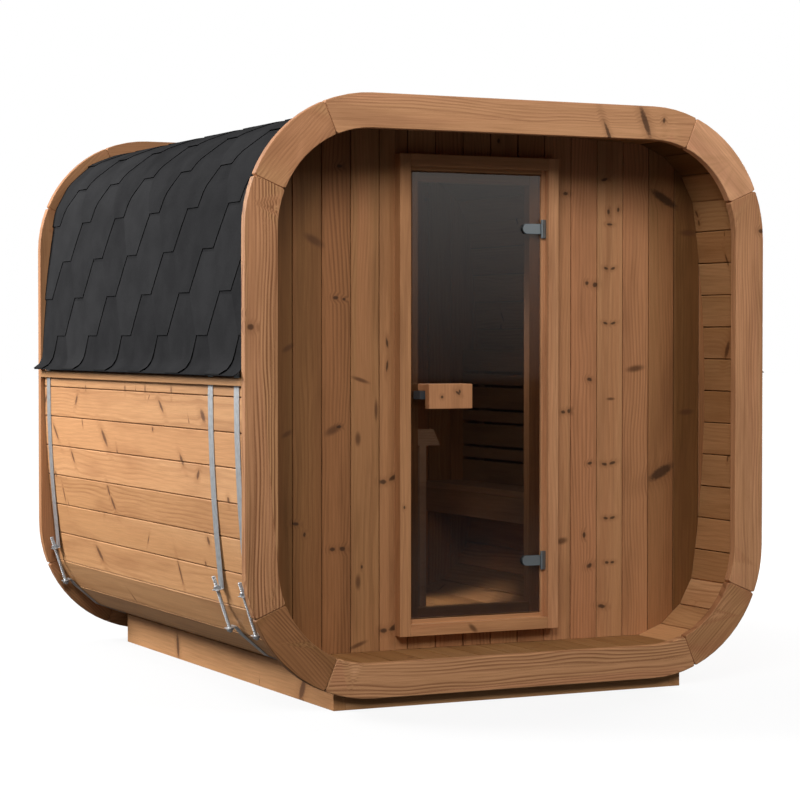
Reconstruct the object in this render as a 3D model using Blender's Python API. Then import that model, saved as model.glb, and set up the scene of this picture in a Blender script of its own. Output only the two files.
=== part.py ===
"""Outdoor sauna cabin: a rounded-square stave shell between two segmented end rings.

The shell is coopered: wide side arcs and tight corners of narrow staves, held by
three steel hoops. A porch is left in front of a boarded wall with a glass door,
which swings outwards on two pin hinges at its right edge.

Metres, +Z up, the front faces -Y. Origin: the middle of the footprint, on the ground.
"""

import math

import bmesh
import bpy
from mathutils import Vector

GAP = 0.0003  # what touching pieces keep between them

# End rings, eight pieces each
RING_WIDTH = 2.057
RING_HEIGHT = 2.060
RING_FACE = 0.120  # width of the ring's front face
RING_THICK = 0.035
RING_RADIUS = 0.470  # outer corner
RING_CLEARANCE = 0.038  # ground to the ring's underside
RING_SPACING = 2.233  # front face of the front ring to front face of the rear ring
RING_JOINT_DEG = (22.5, 67.5)  # on each corner's arc
NOTCH_DEPTH = 0.011  # small V at both ends of each joint
NOTCH_HALF = 0.005
ARC_STEPS = 8  # facets of a 45 degree arc
ROUND_SIDES = 12  # facets of pins, bosses and bolts

# Stave shell
STAVE_THICK = 0.038
SIDE_INSET = 0.0165  # ring's outer side to the shell at its widest
FLOOR_INSET = 0.080  # ring's underside to the shell's underside
CORNER_STAVE = 0.121  # outer width
SIDE_TURN_DEG = 1.5  # turn at each side joint
TOP_TURN_DEG = 0.6
SIDE_STAVES = 12
TOP_STAVES = 12
FLOOR_STAVES = 12
CORNER_STAVES = 3
STAVE_VEE = 0.0035  # half width and depth of the V at each stave joint

# Boarded end walls
BOARD_PITCH = 0.1115
BOARD_VEE = 0.003
WALL_THICK = 0.042
PORCH_DEPTH = 0.307  # front face of the front ring to the front wall
REAR_RECESS = 0.050  # rear wall to the rear ring's front face

# Door frame
FRAME_CENTRE_X = -0.0075
FRAME_WIDTH = 0.643
SILL_RISE = 0.050  # floor to the frame's underside
HEAD_DROP = 0.179  # ring's top to the frame's top
FRAME_DEPTH = 0.090
FRAME_PROUD = 0.043  # before the front wall
FRAME_FACE = 0.042
REBATE_DEPTH = 0.027  # frame's face to the rebate's face
REBATE_WIDTH = 0.015
STOP_DEPTH = 0.0495  # frame's face to the stop behind the glass
STOP_WIDTH = 0.038

# Glass door
GLASS_THICK = 0.008
GLASS_BACK = 0.030  # frame's face to the front of the glass
GLASS_GAP = 0.0055  # all round, to the rebate
HINGE_FROM_SILL = 0.249  # frame's underside to the middle of the lower hinge
HINGE_FROM_HEAD = 0.255
AXIS_BESIDE_GLASS = 0.0045  # hinge axis beyond the edge of the glass
AXIS_BEFORE_GLASS = 0.0095
BARREL_RADIUS = 0.0055
BARREL_PLAY = 0.0005  # between the clamp's barrel and the knuckles
CLAMP_LENGTH = 0.075
CLAMP_HEIGHT = 0.036
CLAMP_OVERHANG = 0.0015  # beyond the edge of the glass
CLAMP_FRONT = 0.0077
CLAMP_REAR = 0.006
BOSS_RADIUS = 0.008  # joins the clamp's plates through a hole in the glass
HINGE_PLATE_HEIGHT = 0.067
HINGE_PLATE_WIDTH = 0.0095
HINGE_PLATE_THICK = 0.0077
HANDLE_WIDTH = 0.173
HANDLE_HEIGHT = 0.088
HANDLE_LIP = 0.032
HANDLE_REACH = 0.091  # glass to the front of the lip
HANDLE_TOP = 0.025
HANDLE_EDGE = 0.021  # door edge to the handle
HANDLE_RISE = 0.810  # frame's underside to the handle's
LATCH_EDGE = 0.005  # door edge to the latch
LATCH_LENGTH = 0.062
LATCH_HEIGHT = 0.029
LATCH_REACH = 0.050
INNER_HANDLE_WIDTH = 0.130
INNER_HANDLE_HEIGHT = 0.070
INNER_HANDLE_THICK = 0.035

# Hoops
HOOP_WIDTH = 0.045
HOOP_THICK = 0.0025
HOOP_FRONT = 0.111  # front ring's face to the middle of the first hoop
HOOP_MIDDLE = 0.350
HOOP_REAR = 0.061  # rear ring's front face to the middle of the last hoop
HOOP_LIFT = 0.009  # what the strips stand off the shell at their lugs
LIFT_STAVES = 5  # over which the upper strip lifts
LUG_ABOVE = 0.062  # upper lug, from the side's last joint
LUG_BELOW = 0.082
LUG_MARGIN = 0.012  # bolt's axis to the lug's tip
BOLT_REACH = 0.0135  # shell's corner to the bolt's axis
BOLT_RADIUS = 0.006
NUT_RADIUS = 0.0105
NUT_HEIGHT = 0.010
BOLT_TAIL = 0.036  # thread above the upper nut

# Roofing and eaves
ROOFING_THICK = 0.006
EAVES_RISE = 0.069  # shell's mid-height to the lip of the roofing
FLARE_RADIUS = 0.056
FLARE_DEG = 75.0
FLARE_STEPS = 5
BATTEN_HEIGHT = 0.027
BATTEN_THICK = 0.014
BATTEN_DROP = 0.031  # lip of the roofing to the batten's underside

# Base frame
BASE_BEAM = 0.045
BASE_REAR_INSET = 0.113  # from the rear ring's front face

# Bench, backrest and heater guard
BENCH_RISE = 0.480  # floor to the top of the seat
BENCH_DEPTH = 0.246
BENCH_BOARD = 0.027
FASCIA_HEIGHT = 0.104
FASCIA_THICK = 0.024
SLAT_THICK = 0.020
SLAT_WIDE = 0.092
SLAT_NARROW = 0.046
SLAT_GAP = 0.012
SLAT_ROWS = 7
CLEAT_THICK = 0.038
CLEAT_WIDTH = 0.045
CLEAT_COUNT = 3
CLEAT_INSET = 0.120
GUARD_REACH = 0.766  # guard's face to the rear wall
GUARD_HALF = 0.394
GUARD_RAIL = 0.067
GUARD_RISE = 0.740  # floor to the top of the rail
GUARD_THICK = 0.028
GUARD_BEVEL = 0.030
POST_OUTER = 0.330
POST_WIDTH = 0.030

# Worked out from the sizes above
DEPTH = RING_SPACING + RING_THICK
FRONT = -DEPTH / 2
MID_Z = RING_CLEARANCE + RING_HEIGHT / 2
SHELL_FRONT = FRONT + RING_THICK + GAP
SHELL_REAR = FRONT + RING_SPACING - GAP
FLOOR_UNDER = RING_CLEARANCE + FLOOR_INSET
FLOOR_TOP = FLOOR_UNDER + STAVE_THICK
HOOP_OFFSET = GAP + HOOP_THICK / 2
ROOFING_OFFSET = 2 * GAP + HOOP_THICK + ROOFING_THICK / 2
WALL_FACE = FRONT + PORCH_DEPTH
WALL_BACK = WALL_FACE + WALL_THICK
REAR_FACE = FRONT + RING_SPACING - REAR_RECESS
REAR_INSIDE = REAR_FACE - WALL_THICK
FRAME_FRONT = WALL_FACE - FRAME_PROUD
FRAME_LEFT = FRAME_CENTRE_X - FRAME_WIDTH / 2
FRAME_RIGHT = FRAME_CENTRE_X + FRAME_WIDTH / 2
FRAME_BOTTOM = FLOOR_TOP + SILL_RISE
FRAME_TOP = RING_CLEARANCE + RING_HEIGHT - HEAD_DROP
REBATE_IN = FRAME_FACE + REBATE_WIDTH  # frame's outer edge to the rebate's edge
STOP_IN = REBATE_IN + STOP_WIDTH
GLASS_FRONT = FRAME_FRONT + GLASS_BACK
GLASS_REAR = GLASS_FRONT + GLASS_THICK
GLASS_LEFT = FRAME_LEFT + REBATE_IN + GLASS_GAP
GLASS_RIGHT = FRAME_RIGHT - REBATE_IN - GLASS_GAP
GLASS_BOTTOM = FRAME_BOTTOM + REBATE_IN + GLASS_GAP
GLASS_TOP = FRAME_TOP - REBATE_IN - GLASS_GAP
HINGE_HEIGHTS = (FRAME_BOTTOM + HINGE_FROM_SILL, FRAME_TOP - HINGE_FROM_HEAD)
HANDLE_BOTTOM = FRAME_BOTTOM + HANDLE_RISE
HOOP_CENTRES = (FRONT + HOOP_FRONT, FRONT + HOOP_MIDDLE, FRONT + RING_SPACING - HOOP_REAR)
EAVES_HEIGHT = MID_Z + EAVES_RISE
BENCH_TOP = FLOOR_TOP + BENCH_RISE
GUARD_TOP = FLOOR_TOP + GUARD_RISE
AXIS_X = GLASS_RIGHT + AXIS_BESIDE_GLASS
AXIS_Y = GLASS_FRONT - AXIS_BEFORE_GLASS


def clear_scene():
    """Remove whatever the file holds, so that the script can be run again."""
    for thing in list(bpy.data.objects):
        bpy.data.objects.remove(thing, do_unlink=True)


def make_material(name, colour, roughness, metallic=0.0, alpha=1.0):
    """One Principled material from an sRGB-like colour."""
    made = bpy.data.materials.new(name)
    made.use_nodes = True
    shader = made.node_tree.nodes["Principled BSDF"]
    shader.inputs["Base Color"].default_value = (*colour, 1.0)
    shader.inputs["Roughness"].default_value = roughness
    shader.inputs["Metallic"].default_value = metallic
    shader.inputs["Alpha"].default_value = alpha
    return made


def new_object(name, shape, finish):
    """Turn a bmesh into a named object with outward faces."""
    bmesh.ops.recalc_face_normals(shape, faces=shape.faces[:])
    mesh = bpy.data.meshes.new(name)
    shape.to_mesh(mesh)
    shape.free()
    made = bpy.data.objects.new(name, mesh)
    made.data.materials.append(finish)
    bpy.context.collection.objects.link(made)
    return made


def prism(name, outline, axis, low, high, finish):
    """Extrude a closed 2D outline along one axis: XZ along Y, XY along Z or YZ along X."""
    place = {
        "X": lambda u, v, w: (w, u, v),
        "Y": lambda u, v, w: (u, w, v),
        "Z": lambda u, v, w: (u, v, w),
    }[axis]
    shape = bmesh.new()
    near = [shape.verts.new(place(u, v, low)) for u, v in outline]
    far = [shape.verts.new(place(u, v, high)) for u, v in outline]
    shape.faces.new(near)
    shape.faces.new(far[::-1])
    for i in range(len(outline)):
        j = (i + 1) % len(outline)
        shape.faces.new((near[i], near[j], far[j], far[i]))
    return new_object(name, shape, finish)


def box(name, low, high, finish):
    """A square-edged block between two corners."""
    outline = [(low[0], low[1]), (high[0], low[1]), (high[0], high[1]), (low[0], high[1])]
    return prism(name, outline, "Z", low[2], high[2], finish)


def stepped_block(name, blocks, finish):
    """One closed body from square blocks that share faces or overlap.

    The blocks' corners make a grid. Cells inside any block are kept, and the outer
    skin of those cells is the body.
    """
    cuts = [sorted({round(b[end][axis], 7) for b in blocks for end in (0, 1)}) for axis in range(3)]
    middle = [[(a + b) / 2 for a, b in zip(line, line[1:])] for line in cuts]
    filled = set()
    for i, x in enumerate(middle[0]):
        for j, y in enumerate(middle[1]):
            for k, z in enumerate(middle[2]):
                if any(
                    lo[0] < x < hi[0] and lo[1] < y < hi[1] and lo[2] < z < hi[2]
                    for lo, hi in blocks
                ):
                    filled.add((i, j, k))
    shape = bmesh.new()
    corners = {}

    def corner(i, j, k):
        if (i, j, k) not in corners:
            corners[(i, j, k)] = shape.verts.new((cuts[0][i], cuts[1][j], cuts[2][k]))
        return corners[(i, j, k)]

    sides = (
        ((-1, 0, 0), ((0, 0, 0), (0, 0, 1), (0, 1, 1), (0, 1, 0))),
        ((1, 0, 0), ((1, 0, 0), (1, 1, 0), (1, 1, 1), (1, 0, 1))),
        ((0, -1, 0), ((0, 0, 0), (1, 0, 0), (1, 0, 1), (0, 0, 1))),
        ((0, 1, 0), ((0, 1, 0), (0, 1, 1), (1, 1, 1), (1, 1, 0))),
        ((0, 0, -1), ((0, 0, 0), (0, 1, 0), (1, 1, 0), (1, 0, 0))),
        ((0, 0, 1), ((0, 0, 1), (1, 0, 1), (1, 1, 1), (0, 1, 1))),
    )
    for cell in sorted(filled):
        for step, ring in sides:
            if tuple(c + s for c, s in zip(cell, step)) not in filled:
                shape.faces.new([corner(*(c + r for c, r in zip(cell, at))) for at in ring])
    bmesh.ops.dissolve_limit(
        shape, angle_limit=0.01, verts=shape.verts[:], edges=shape.edges[:], delimit=set()
    )
    return new_object(name, shape, finish)


def turned(name, profile, start, along, finish):
    """A solid of revolution about a line.

    profile holds (distance along the line, radius) pairs from one end to the other.
    """
    forward = along.normalized()
    across = forward.orthogonal().normalized()
    other = forward.cross(across)
    shape = bmesh.new()
    rings = []
    for distance, radius in profile:
        centre = start + forward * distance
        ring = []
        for i in range(ROUND_SIDES):
            u, v = unit(360 * (i + 0.5) / ROUND_SIDES)
            ring.append(shape.verts.new(centre + (across * u + other * v) * radius))
        rings.append(ring)
    shape.faces.new(rings[0][::-1])
    shape.faces.new(rings[-1])
    for a, b in zip(rings, rings[1:]):
        for i in range(ROUND_SIDES):
            j = (i + 1) % ROUND_SIDES
            shape.faces.new((a[i], a[j], b[j], b[i]))
    return new_object(name, shape, finish)


def combine(target, tool, operation):
    """Add, cut or intersect with another object, which stays as a hidden guide."""
    tool.hide_render = True
    tool.display_type = "WIRE"
    step = target.modifiers.new(operation.lower(), "BOOLEAN")
    step.operation = operation
    step.object = tool
    step.solver = "EXACT"


def unit(angle):
    """Unit vector in XZ at an angle in degrees from +X towards +Z."""
    return (math.cos(math.radians(angle)), math.sin(math.radians(angle)))


def shifted(point, direction, distance):
    return (point[0] + direction[0] * distance, point[1] + direction[1] * distance)


class Shell:
    """The shell's cross-section: outward angles of the staves and the joints between them.

    Staves run anticlockwise, seen from the front, from mid-height on the right side.
    """

    def __init__(self):
        half_side = SIDE_STAVES // 2
        side = [SIDE_TURN_DEG * (k + 0.5) for k in range(half_side)]
        top = [TOP_TURN_DEG * (k + 0.5 - TOP_STAVES / 2) for k in range(TOP_STAVES)]
        upper_step = (90 + top[0] - side[-1]) / (CORNER_STAVES + 1)
        lower_step = (90 - side[-1]) / (CORNER_STAVES + 1)
        upper = [side[-1] + upper_step * (i + 1) for i in range(CORNER_STAVES)]
        lower = [side[-1] + lower_step * (i + 1) for i in range(CORNER_STAVES)]
        rise = MID_Z - FLOOR_UNDER - CORNER_STAVE * sum(unit(a)[0] for a in lower)
        side_width = rise / sum(unit(a)[0] for a in side)
        half_width = RING_WIDTH / 2 - SIDE_INSET
        shoulder = half_width - side_width * sum(unit(a)[1] for a in side)
        top_half = shoulder - CORNER_STAVE * sum(unit(a)[1] for a in upper)
        floor_half = shoulder - CORNER_STAVE * sum(unit(a)[1] for a in lower)
        top_width = 2 * top_half / sum(unit(a)[0] for a in top)
        floor_width = 2 * floor_half / FLOOR_STAVES
        runs = [
            (side, side_width),
            (upper, CORNER_STAVE),
            ([90 + a for a in top], top_width),
            ([180 - a for a in reversed(upper)], CORNER_STAVE),
            ([180 - a for a in reversed(side)] + [180 + a for a in side], side_width),
            ([180 + a for a in lower], CORNER_STAVE),
            ([270.0] * FLOOR_STAVES, floor_width),
            ([360 - a for a in reversed(lower)], CORNER_STAVE),
            ([360 - a for a in reversed(side)], side_width),
        ]
        self.angles = [a for angles, _ in runs for a in angles]
        self.widths = [width for angles, width in runs for _ in angles]
        self.count = len(self.angles)
        self.joints = [(half_width, MID_Z)]
        for angle, width in zip(self.angles[:-1], self.widths):
            self.joints.append(shifted(self.joints[-1], unit(angle + 90), width))
        ends = [0]
        for angles, _ in runs:
            ends.append(ends[-1] + len(angles))
        self.right = (ends[8] - self.count, ends[1])
        self.corner_top_right = (ends[1], ends[2])
        self.top = (ends[2], ends[3])
        self.corner_top_left = (ends[3], ends[4])
        self.left = (ends[4], ends[5])
        self.corner_bottom_left = (ends[5], ends[6])
        self.floor = (ends[6], ends[7])
        self.corner_bottom_right = (ends[7], ends[8])

    def joint(self, index, offset=0.0):
        """A joint's point, moved out along the mitre so that it lies offset from both faces."""
        i = index % self.count
        before, after = self.angles[i - 1], self.angles[i]
        turn = (after - before) % 360
        mitre = before + turn / 2
        reach = offset / math.cos(math.radians(turn / 2))
        return shifted(self.joints[i], unit(mitre), reach)

    def along(self, index):
        """Direction of travel along the stave that starts at a joint."""
        return unit(self.angles[index % self.count] + 90)

    def stave_outline(self, start, end):
        """Closed outline of the staves between two joints, with a V at each joint."""
        outer, inner = [], []
        for i in range(start, end + 1):
            back, ahead = self.along(i - 1), self.along(i)
            for row, face, floor in (
                (outer, self.joint(i), self.joint(i, -STAVE_VEE)),
                (inner, self.joint(i, -STAVE_THICK), self.joint(i, STAVE_VEE - STAVE_THICK)),
            ):
                if i > start:
                    row.append(shifted(face, back, -STAVE_VEE))
                if i == start:
                    row.append(shifted(floor, ahead, GAP / 2))
                elif i == end:
                    row.append(shifted(floor, back, -GAP / 2))
                else:
                    row.append(floor)
                if i < end:
                    row.append(shifted(face, ahead, STAVE_VEE))
        return outer + inner[::-1]

    def offset_line(self, start, end, offset):
        """The joints between two indices, moved out by a distance."""
        return [self.joint(i, offset) for i in range(start, end + 1)]

    def inside(self, clearance):
        """The whole inner outline, moved in by a clearance."""
        return [self.joint(i, -STAVE_THICK - clearance) for i in range(self.count)]

    def side_x(self, height, offset=0.0):
        """Half width of the shell at a height on its sides."""
        low, high = self.right
        line = self.offset_line(low, high, offset)
        for (xa, za), (xb, zb) in zip(line, line[1:]):
            if za <= height <= zb:
                return xa + (xb - xa) * (height - za) / (zb - za)
        return line[-1][0] if height > MID_Z else line[0][0]


def strip_outline(points, thick):
    """A closed outline of even thickness about an open line, with mitred bends."""
    left, right = [], []
    for i, point in enumerate(points):
        legs = []
        if i > 0:
            legs.append((point[0] - points[i - 1][0], point[1] - points[i - 1][1]))
        if i < len(points) - 1:
            legs.append((points[i + 1][0] - point[0], points[i + 1][1] - point[1]))
        sides = [(-z / math.hypot(x, z), x / math.hypot(x, z)) for x, z in legs]
        normal = (sum(s[0] for s in sides), sum(s[1] for s in sides))
        size = math.hypot(*normal)
        normal = (normal[0] / size, normal[1] / size)
        reach = thick / 2 / (normal[0] * sides[0][0] + normal[1] * sides[0][1])
        left.append(shifted(point, normal, reach))
        right.append(shifted(point, normal, -reach))
    return left + right[::-1]


def mirrored(points):
    return [(-x, z) for x, z in reversed(points)]


def ring_arc(quarter, start, end, radius):
    """Points on a corner's arc; quarter 0 is the upper right and they run anticlockwise."""
    across = RING_WIDTH / 2 - RING_RADIUS
    up = RING_HEIGHT / 2 - RING_RADIUS
    sign_x = (1, -1, -1, 1)[quarter]
    sign_z = (1, 1, -1, -1)[quarter]
    steps = max(1, round(abs(end - start) / 45 * ARC_STEPS))
    points = []
    for i in range(steps + 1):
        direction = unit(90 * quarter + start + (end - start) * i / steps)
        points.append(shifted((sign_x * across, MID_Z + sign_z * up), direction, radius))
    return points


def ring_joint_end(quarter, degrees, side):
    """The two points of a joint's face between its notches, on one side of the joint."""
    across = RING_WIDTH / 2 - RING_RADIUS
    up = RING_HEIGHT / 2 - RING_RADIUS
    sign_x = (1, -1, -1, 1)[quarter]
    sign_z = (1, 1, -1, -1)[quarter]
    direction = unit(90 * quarter + degrees)
    travel = unit(90 * quarter + degrees + 90)
    points = []
    for radius in (RING_RADIUS - NOTCH_DEPTH, RING_RADIUS - RING_FACE + NOTCH_DEPTH):
        point = shifted((sign_x * across, MID_Z + sign_z * up), direction, radius)
        points.append(shifted(point, travel, side * GAP / 2))
    return points


def ring_piece_outline(stretches):
    """Outline of one ring piece from its stretches of corner arc, anticlockwise."""
    inner_radius = RING_RADIUS - RING_FACE
    first, last = stretches[0], stretches[-1]

    def line(radius):
        notch = math.degrees(NOTCH_HALF / radius)
        points = []
        for stretch in stretches:
            quarter, start, end = stretch
            if stretch is first:
                start += notch
            if stretch is last:
                end -= notch
            points += ring_arc(quarter, start, end, radius)
        return points

    start_face = ring_joint_end(first[0], first[1], 1)
    end_face = ring_joint_end(last[0], last[2], -1)
    return line(RING_RADIUS) + end_face + line(inner_radius)[::-1] + start_face[::-1]


def build_ring(prefix, front, finish):
    """Four side pieces and four corner pieces."""
    low, high = RING_JOINT_DEG
    pieces = {
        "corner_top_right": [(0, low, high)],
        "top": [(0, high, 90.0), (1, 0.0, low)],
        "corner_top_left": [(1, low, high)],
        "left": [(1, high, 90.0), (2, 0.0, low)],
        "corner_bottom_left": [(2, low, high)],
        "bottom": [(2, high, 90.0), (3, 0.0, low)],
        "corner_bottom_right": [(3, low, high)],
        "right": [(3, high, 90.0), (0, 0.0, low)],
    }
    for name, stretches in pieces.items():
        prism(
            f"{prefix}_{name}", ring_piece_outline(stretches), "Y", front, front + RING_THICK, finish
        )


def build_shell(shell, finish):
    """Eight groups of staves, each one closed profile between the rings."""
    groups = {
        "shell_right": shell.right,
        "shell_corner_top_right": shell.corner_top_right,
        "shell_ceiling": shell.top,
        "shell_corner_top_left": shell.corner_top_left,
        "shell_left": shell.left,
        "shell_corner_bottom_left": shell.corner_bottom_left,
        "shell_floor": shell.floor,
        "shell_corner_bottom_right": shell.corner_bottom_right,
    }
    for name, (start, end) in groups.items():
        prism(name, shell.stave_outline(start, end), "Y", SHELL_FRONT, SHELL_REAR, finish)


def boarded(name, shell, low, high, face, finish):
    """Upright boards with a V at each joint, trimmed to the shell's inner outline.

    low and high are (x, z) corners, and face is the front of the boards.
    """
    back = face + WALL_THICK
    first = math.ceil((low[0] + BOARD_VEE) / BOARD_PITCH - 0.5)
    last = math.floor((high[0] - BOARD_VEE) / BOARD_PITCH - 0.5)
    joints = [BOARD_PITCH * (k + 0.5) for k in range(first, last + 1)]
    near = [(low[0], face)]
    far = [(low[0], back)]
    for x in joints:
        near += [(x - BOARD_VEE, face), (x, face + BOARD_VEE), (x + BOARD_VEE, face)]
        far += [(x - BOARD_VEE, back), (x, back - BOARD_VEE), (x + BOARD_VEE, back)]
    near.append((high[0], face))
    far.append((high[0], back))
    wall = prism(name, near + far[::-1], "Z", low[1], high[1], finish)
    trim = prism(
        f"{name}_outline", shell.inside(GAP), "Y", face - WALL_THICK, back + WALL_THICK, finish
    )
    combine(wall, trim, "INTERSECT")
    return wall


def build_walls(shell, finish):
    """The front wall in four parts round the door frame, and the rear wall in one."""
    wide = RING_WIDTH / 2
    low, high = RING_CLEARANCE, RING_CLEARANCE + RING_HEIGHT
    left, right = FRAME_LEFT - GAP, FRAME_RIGHT + GAP
    boarded("front_wall_left", shell, (-wide, low), (left, high), WALL_FACE, finish)
    boarded("front_wall_right", shell, (right, low), (wide, high), WALL_FACE, finish)
    left, right = FRAME_LEFT, FRAME_RIGHT
    boarded(
        "front_wall_under_door", shell, (left, low), (right, FRAME_BOTTOM - GAP), WALL_FACE, finish
    )
    boarded(
        "front_wall_over_door", shell, (left, FRAME_TOP + GAP), (right, high), WALL_FACE, finish
    )
    boarded("rear_wall", shell, (-wide, low), (wide, high), REAR_INSIDE, finish)


def build_door_frame(finish):
    """Two full-height jambs with the head and sill between them, all with the same rebates."""
    back = FRAME_FRONT + FRAME_DEPTH
    steps = (
        (FRAME_FACE, FRAME_FRONT, FRAME_FRONT + REBATE_DEPTH),
        (REBATE_IN, FRAME_FRONT + REBATE_DEPTH, FRAME_FRONT + STOP_DEPTH),
        (STOP_IN, FRAME_FRONT + STOP_DEPTH, back),
    )
    outline = [(0.0, FRAME_FRONT)]
    for reach, near, far in steps:
        outline += [(reach, near), (reach, far)]
    outline.append((0.0, back))
    for name, edge, sign in (("left", FRAME_LEFT, 1), ("right", FRAME_RIGHT, -1)):
        side = [(edge + sign * u, y) for u, y in outline]
        prism(f"door_jamb_{name}", side, "Z", FRAME_BOTTOM, FRAME_TOP, finish)
    for name, edge, sign in (("door_head", FRAME_TOP, -1), ("door_sill", FRAME_BOTTOM, 1)):
        blocks = []
        for reach, near, far in steps:
            heights = sorted((edge, edge + sign * reach))
            low = (FRAME_LEFT + reach + GAP, near, heights[0])
            high = (FRAME_RIGHT - reach - GAP, far, heights[1])
            blocks.append((low, high))
        stepped_block(name, blocks, finish)


def half_round_plate(name, height, near, far, finish):
    """A clamp's plate on the glass, with a half round at its free end."""
    radius = CLAMP_HEIGHT / 2
    right = GLASS_RIGHT + CLAMP_OVERHANG
    centre = (right - CLAMP_LENGTH + radius, height)
    steps = 10
    points = [shifted(centre, unit(90 + 180 * i / steps), radius) for i in range(steps + 1)]
    points += [(right, height - radius), (right, height + radius)]
    return prism(name, points, "Y", near, far, finish)


def upright_rod(name, x, y, low, high, radius, finish):
    return turned(
        name, [(0.0, radius), (high - low, radius)], Vector((x, y, low)), Vector((0, 0, 1)), finish
    )


def cross_rod(name, height, near, far, radius, finish):
    """A round boss along Y through the middle of a clamp's plates."""
    middle = GLASS_RIGHT + CLAMP_OVERHANG - CLAMP_LENGTH / 2
    start = Vector((middle, near, height))
    return turned(name, [(0.0, radius), (far - near, radius)], start, Vector((0, 1, 0)), finish)


def build_hinge(name, height, pane, metal):
    """A clamp on the glass, whose barrel turns between two knuckles on the frame's plate."""
    near, far = GLASS_FRONT - GAP, GLASS_REAR + GAP
    half = CLAMP_HEIGHT / 2
    clamp = half_round_plate(f"hinge_clamp_{name}", height, near - CLAMP_FRONT, near, metal)
    rear = half_round_plate(f"clamp_rear_{name}", height, far, far + CLAMP_REAR, metal)
    boss = cross_rod(
        f"clamp_boss_{name}", height, near - CLAMP_FRONT / 2, far + CLAMP_REAR / 2, BOSS_RADIUS, metal
    )
    barrel = upright_rod(
        f"clamp_barrel_{name}", AXIS_X, AXIS_Y, height - half, height + half, BARREL_RADIUS, metal
    )
    for tool in (boss, rear, barrel):
        combine(clamp, tool, "UNION")
    hole = cross_rod(
        f"clamp_hole_{name}", height, near - CLAMP_FRONT, far + CLAMP_REAR, BOSS_RADIUS + GAP, metal
    )
    combine(pane, hole, "DIFFERENCE")

    right = FRAME_RIGHT - FRAME_FACE - GAP
    inner = right - HINGE_PLATE_WIDTH
    back = FRAME_FRONT + REBATE_DEPTH - GAP
    front = back - HINGE_PLATE_THICK
    reach = HINGE_PLATE_HEIGHT / 2
    ends = {
        "foot": (height - reach, height - half - BARREL_PLAY),
        "head": (height + half + BARREL_PLAY, height + reach),
    }
    blocks = [((inner, front, height - reach), (right, back, height + reach))]
    blocks += [((AXIS_X, front, low), (inner, back, high)) for low, high in ends.values()]
    plate = stepped_block(f"hinge_plate_{name}", blocks, metal)
    for end, (low, high) in ends.items():
        knuckle = upright_rod(
            f"hinge_knuckle_{name}_{end}", AXIS_X, AXIS_Y, low, high, BARREL_RADIUS, metal
        )
        combine(plate, knuckle, "UNION")
    return clamp


def build_door(glass, metal, wood, dark):
    """The glass leaf with its clamps, handles and latch, hung on the hinge axis."""
    pivot = bpy.data.objects.new("door_pivot", None)
    pivot.location = (AXIS_X, AXIS_Y, 0.0)
    bpy.context.collection.objects.link(pivot)
    near, far = GLASS_FRONT - GAP, GLASS_REAR + GAP
    low = (GLASS_LEFT, GLASS_FRONT, GLASS_BOTTOM)
    pane = box("door_glass", low, (GLASS_RIGHT, GLASS_REAR, GLASS_TOP), glass)
    leaf = [pane]
    for name, height in zip(("lower", "upper"), HINGE_HEIGHTS):
        leaf.append(build_hinge(name, height, pane, metal))
    handle_left = GLASS_LEFT + HANDLE_EDGE
    handle_right = handle_left + HANDLE_WIDTH
    handle_top = HANDLE_BOTTOM + HANDLE_HEIGHT
    lip_front = near - HANDLE_REACH
    hook = [
        (lip_front, HANDLE_BOTTOM),
        (lip_front + HANDLE_LIP, HANDLE_BOTTOM),
        (lip_front + HANDLE_LIP, handle_top - HANDLE_TOP),
        (near, handle_top - HANDLE_TOP),
        (near, handle_top),
        (lip_front, handle_top),
    ]
    leaf.append(prism("door_handle_outer", hook, "X", handle_left, handle_right, wood))
    latch_left = GLASS_LEFT + LATCH_EDGE
    latch_top = handle_top - HANDLE_TOP - GAP
    low = (latch_left, near - LATCH_REACH, latch_top - LATCH_HEIGHT)
    leaf.append(box("door_latch", low, (latch_left + LATCH_LENGTH, near, latch_top), dark))
    inner_low = HANDLE_BOTTOM + (HANDLE_HEIGHT - INNER_HANDLE_HEIGHT) / 2
    low = (handle_right - INNER_HANDLE_WIDTH, far, inner_low)
    high = (handle_right, far + INNER_HANDLE_THICK, inner_low + INNER_HANDLE_HEIGHT)
    leaf.append(box("door_handle_inner", low, high, wood))
    bpy.context.view_layer.update()
    for piece in leaf:
        piece.parent = pivot
        piece.matrix_parent_inverse = pivot.matrix_world.inverted()


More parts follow.
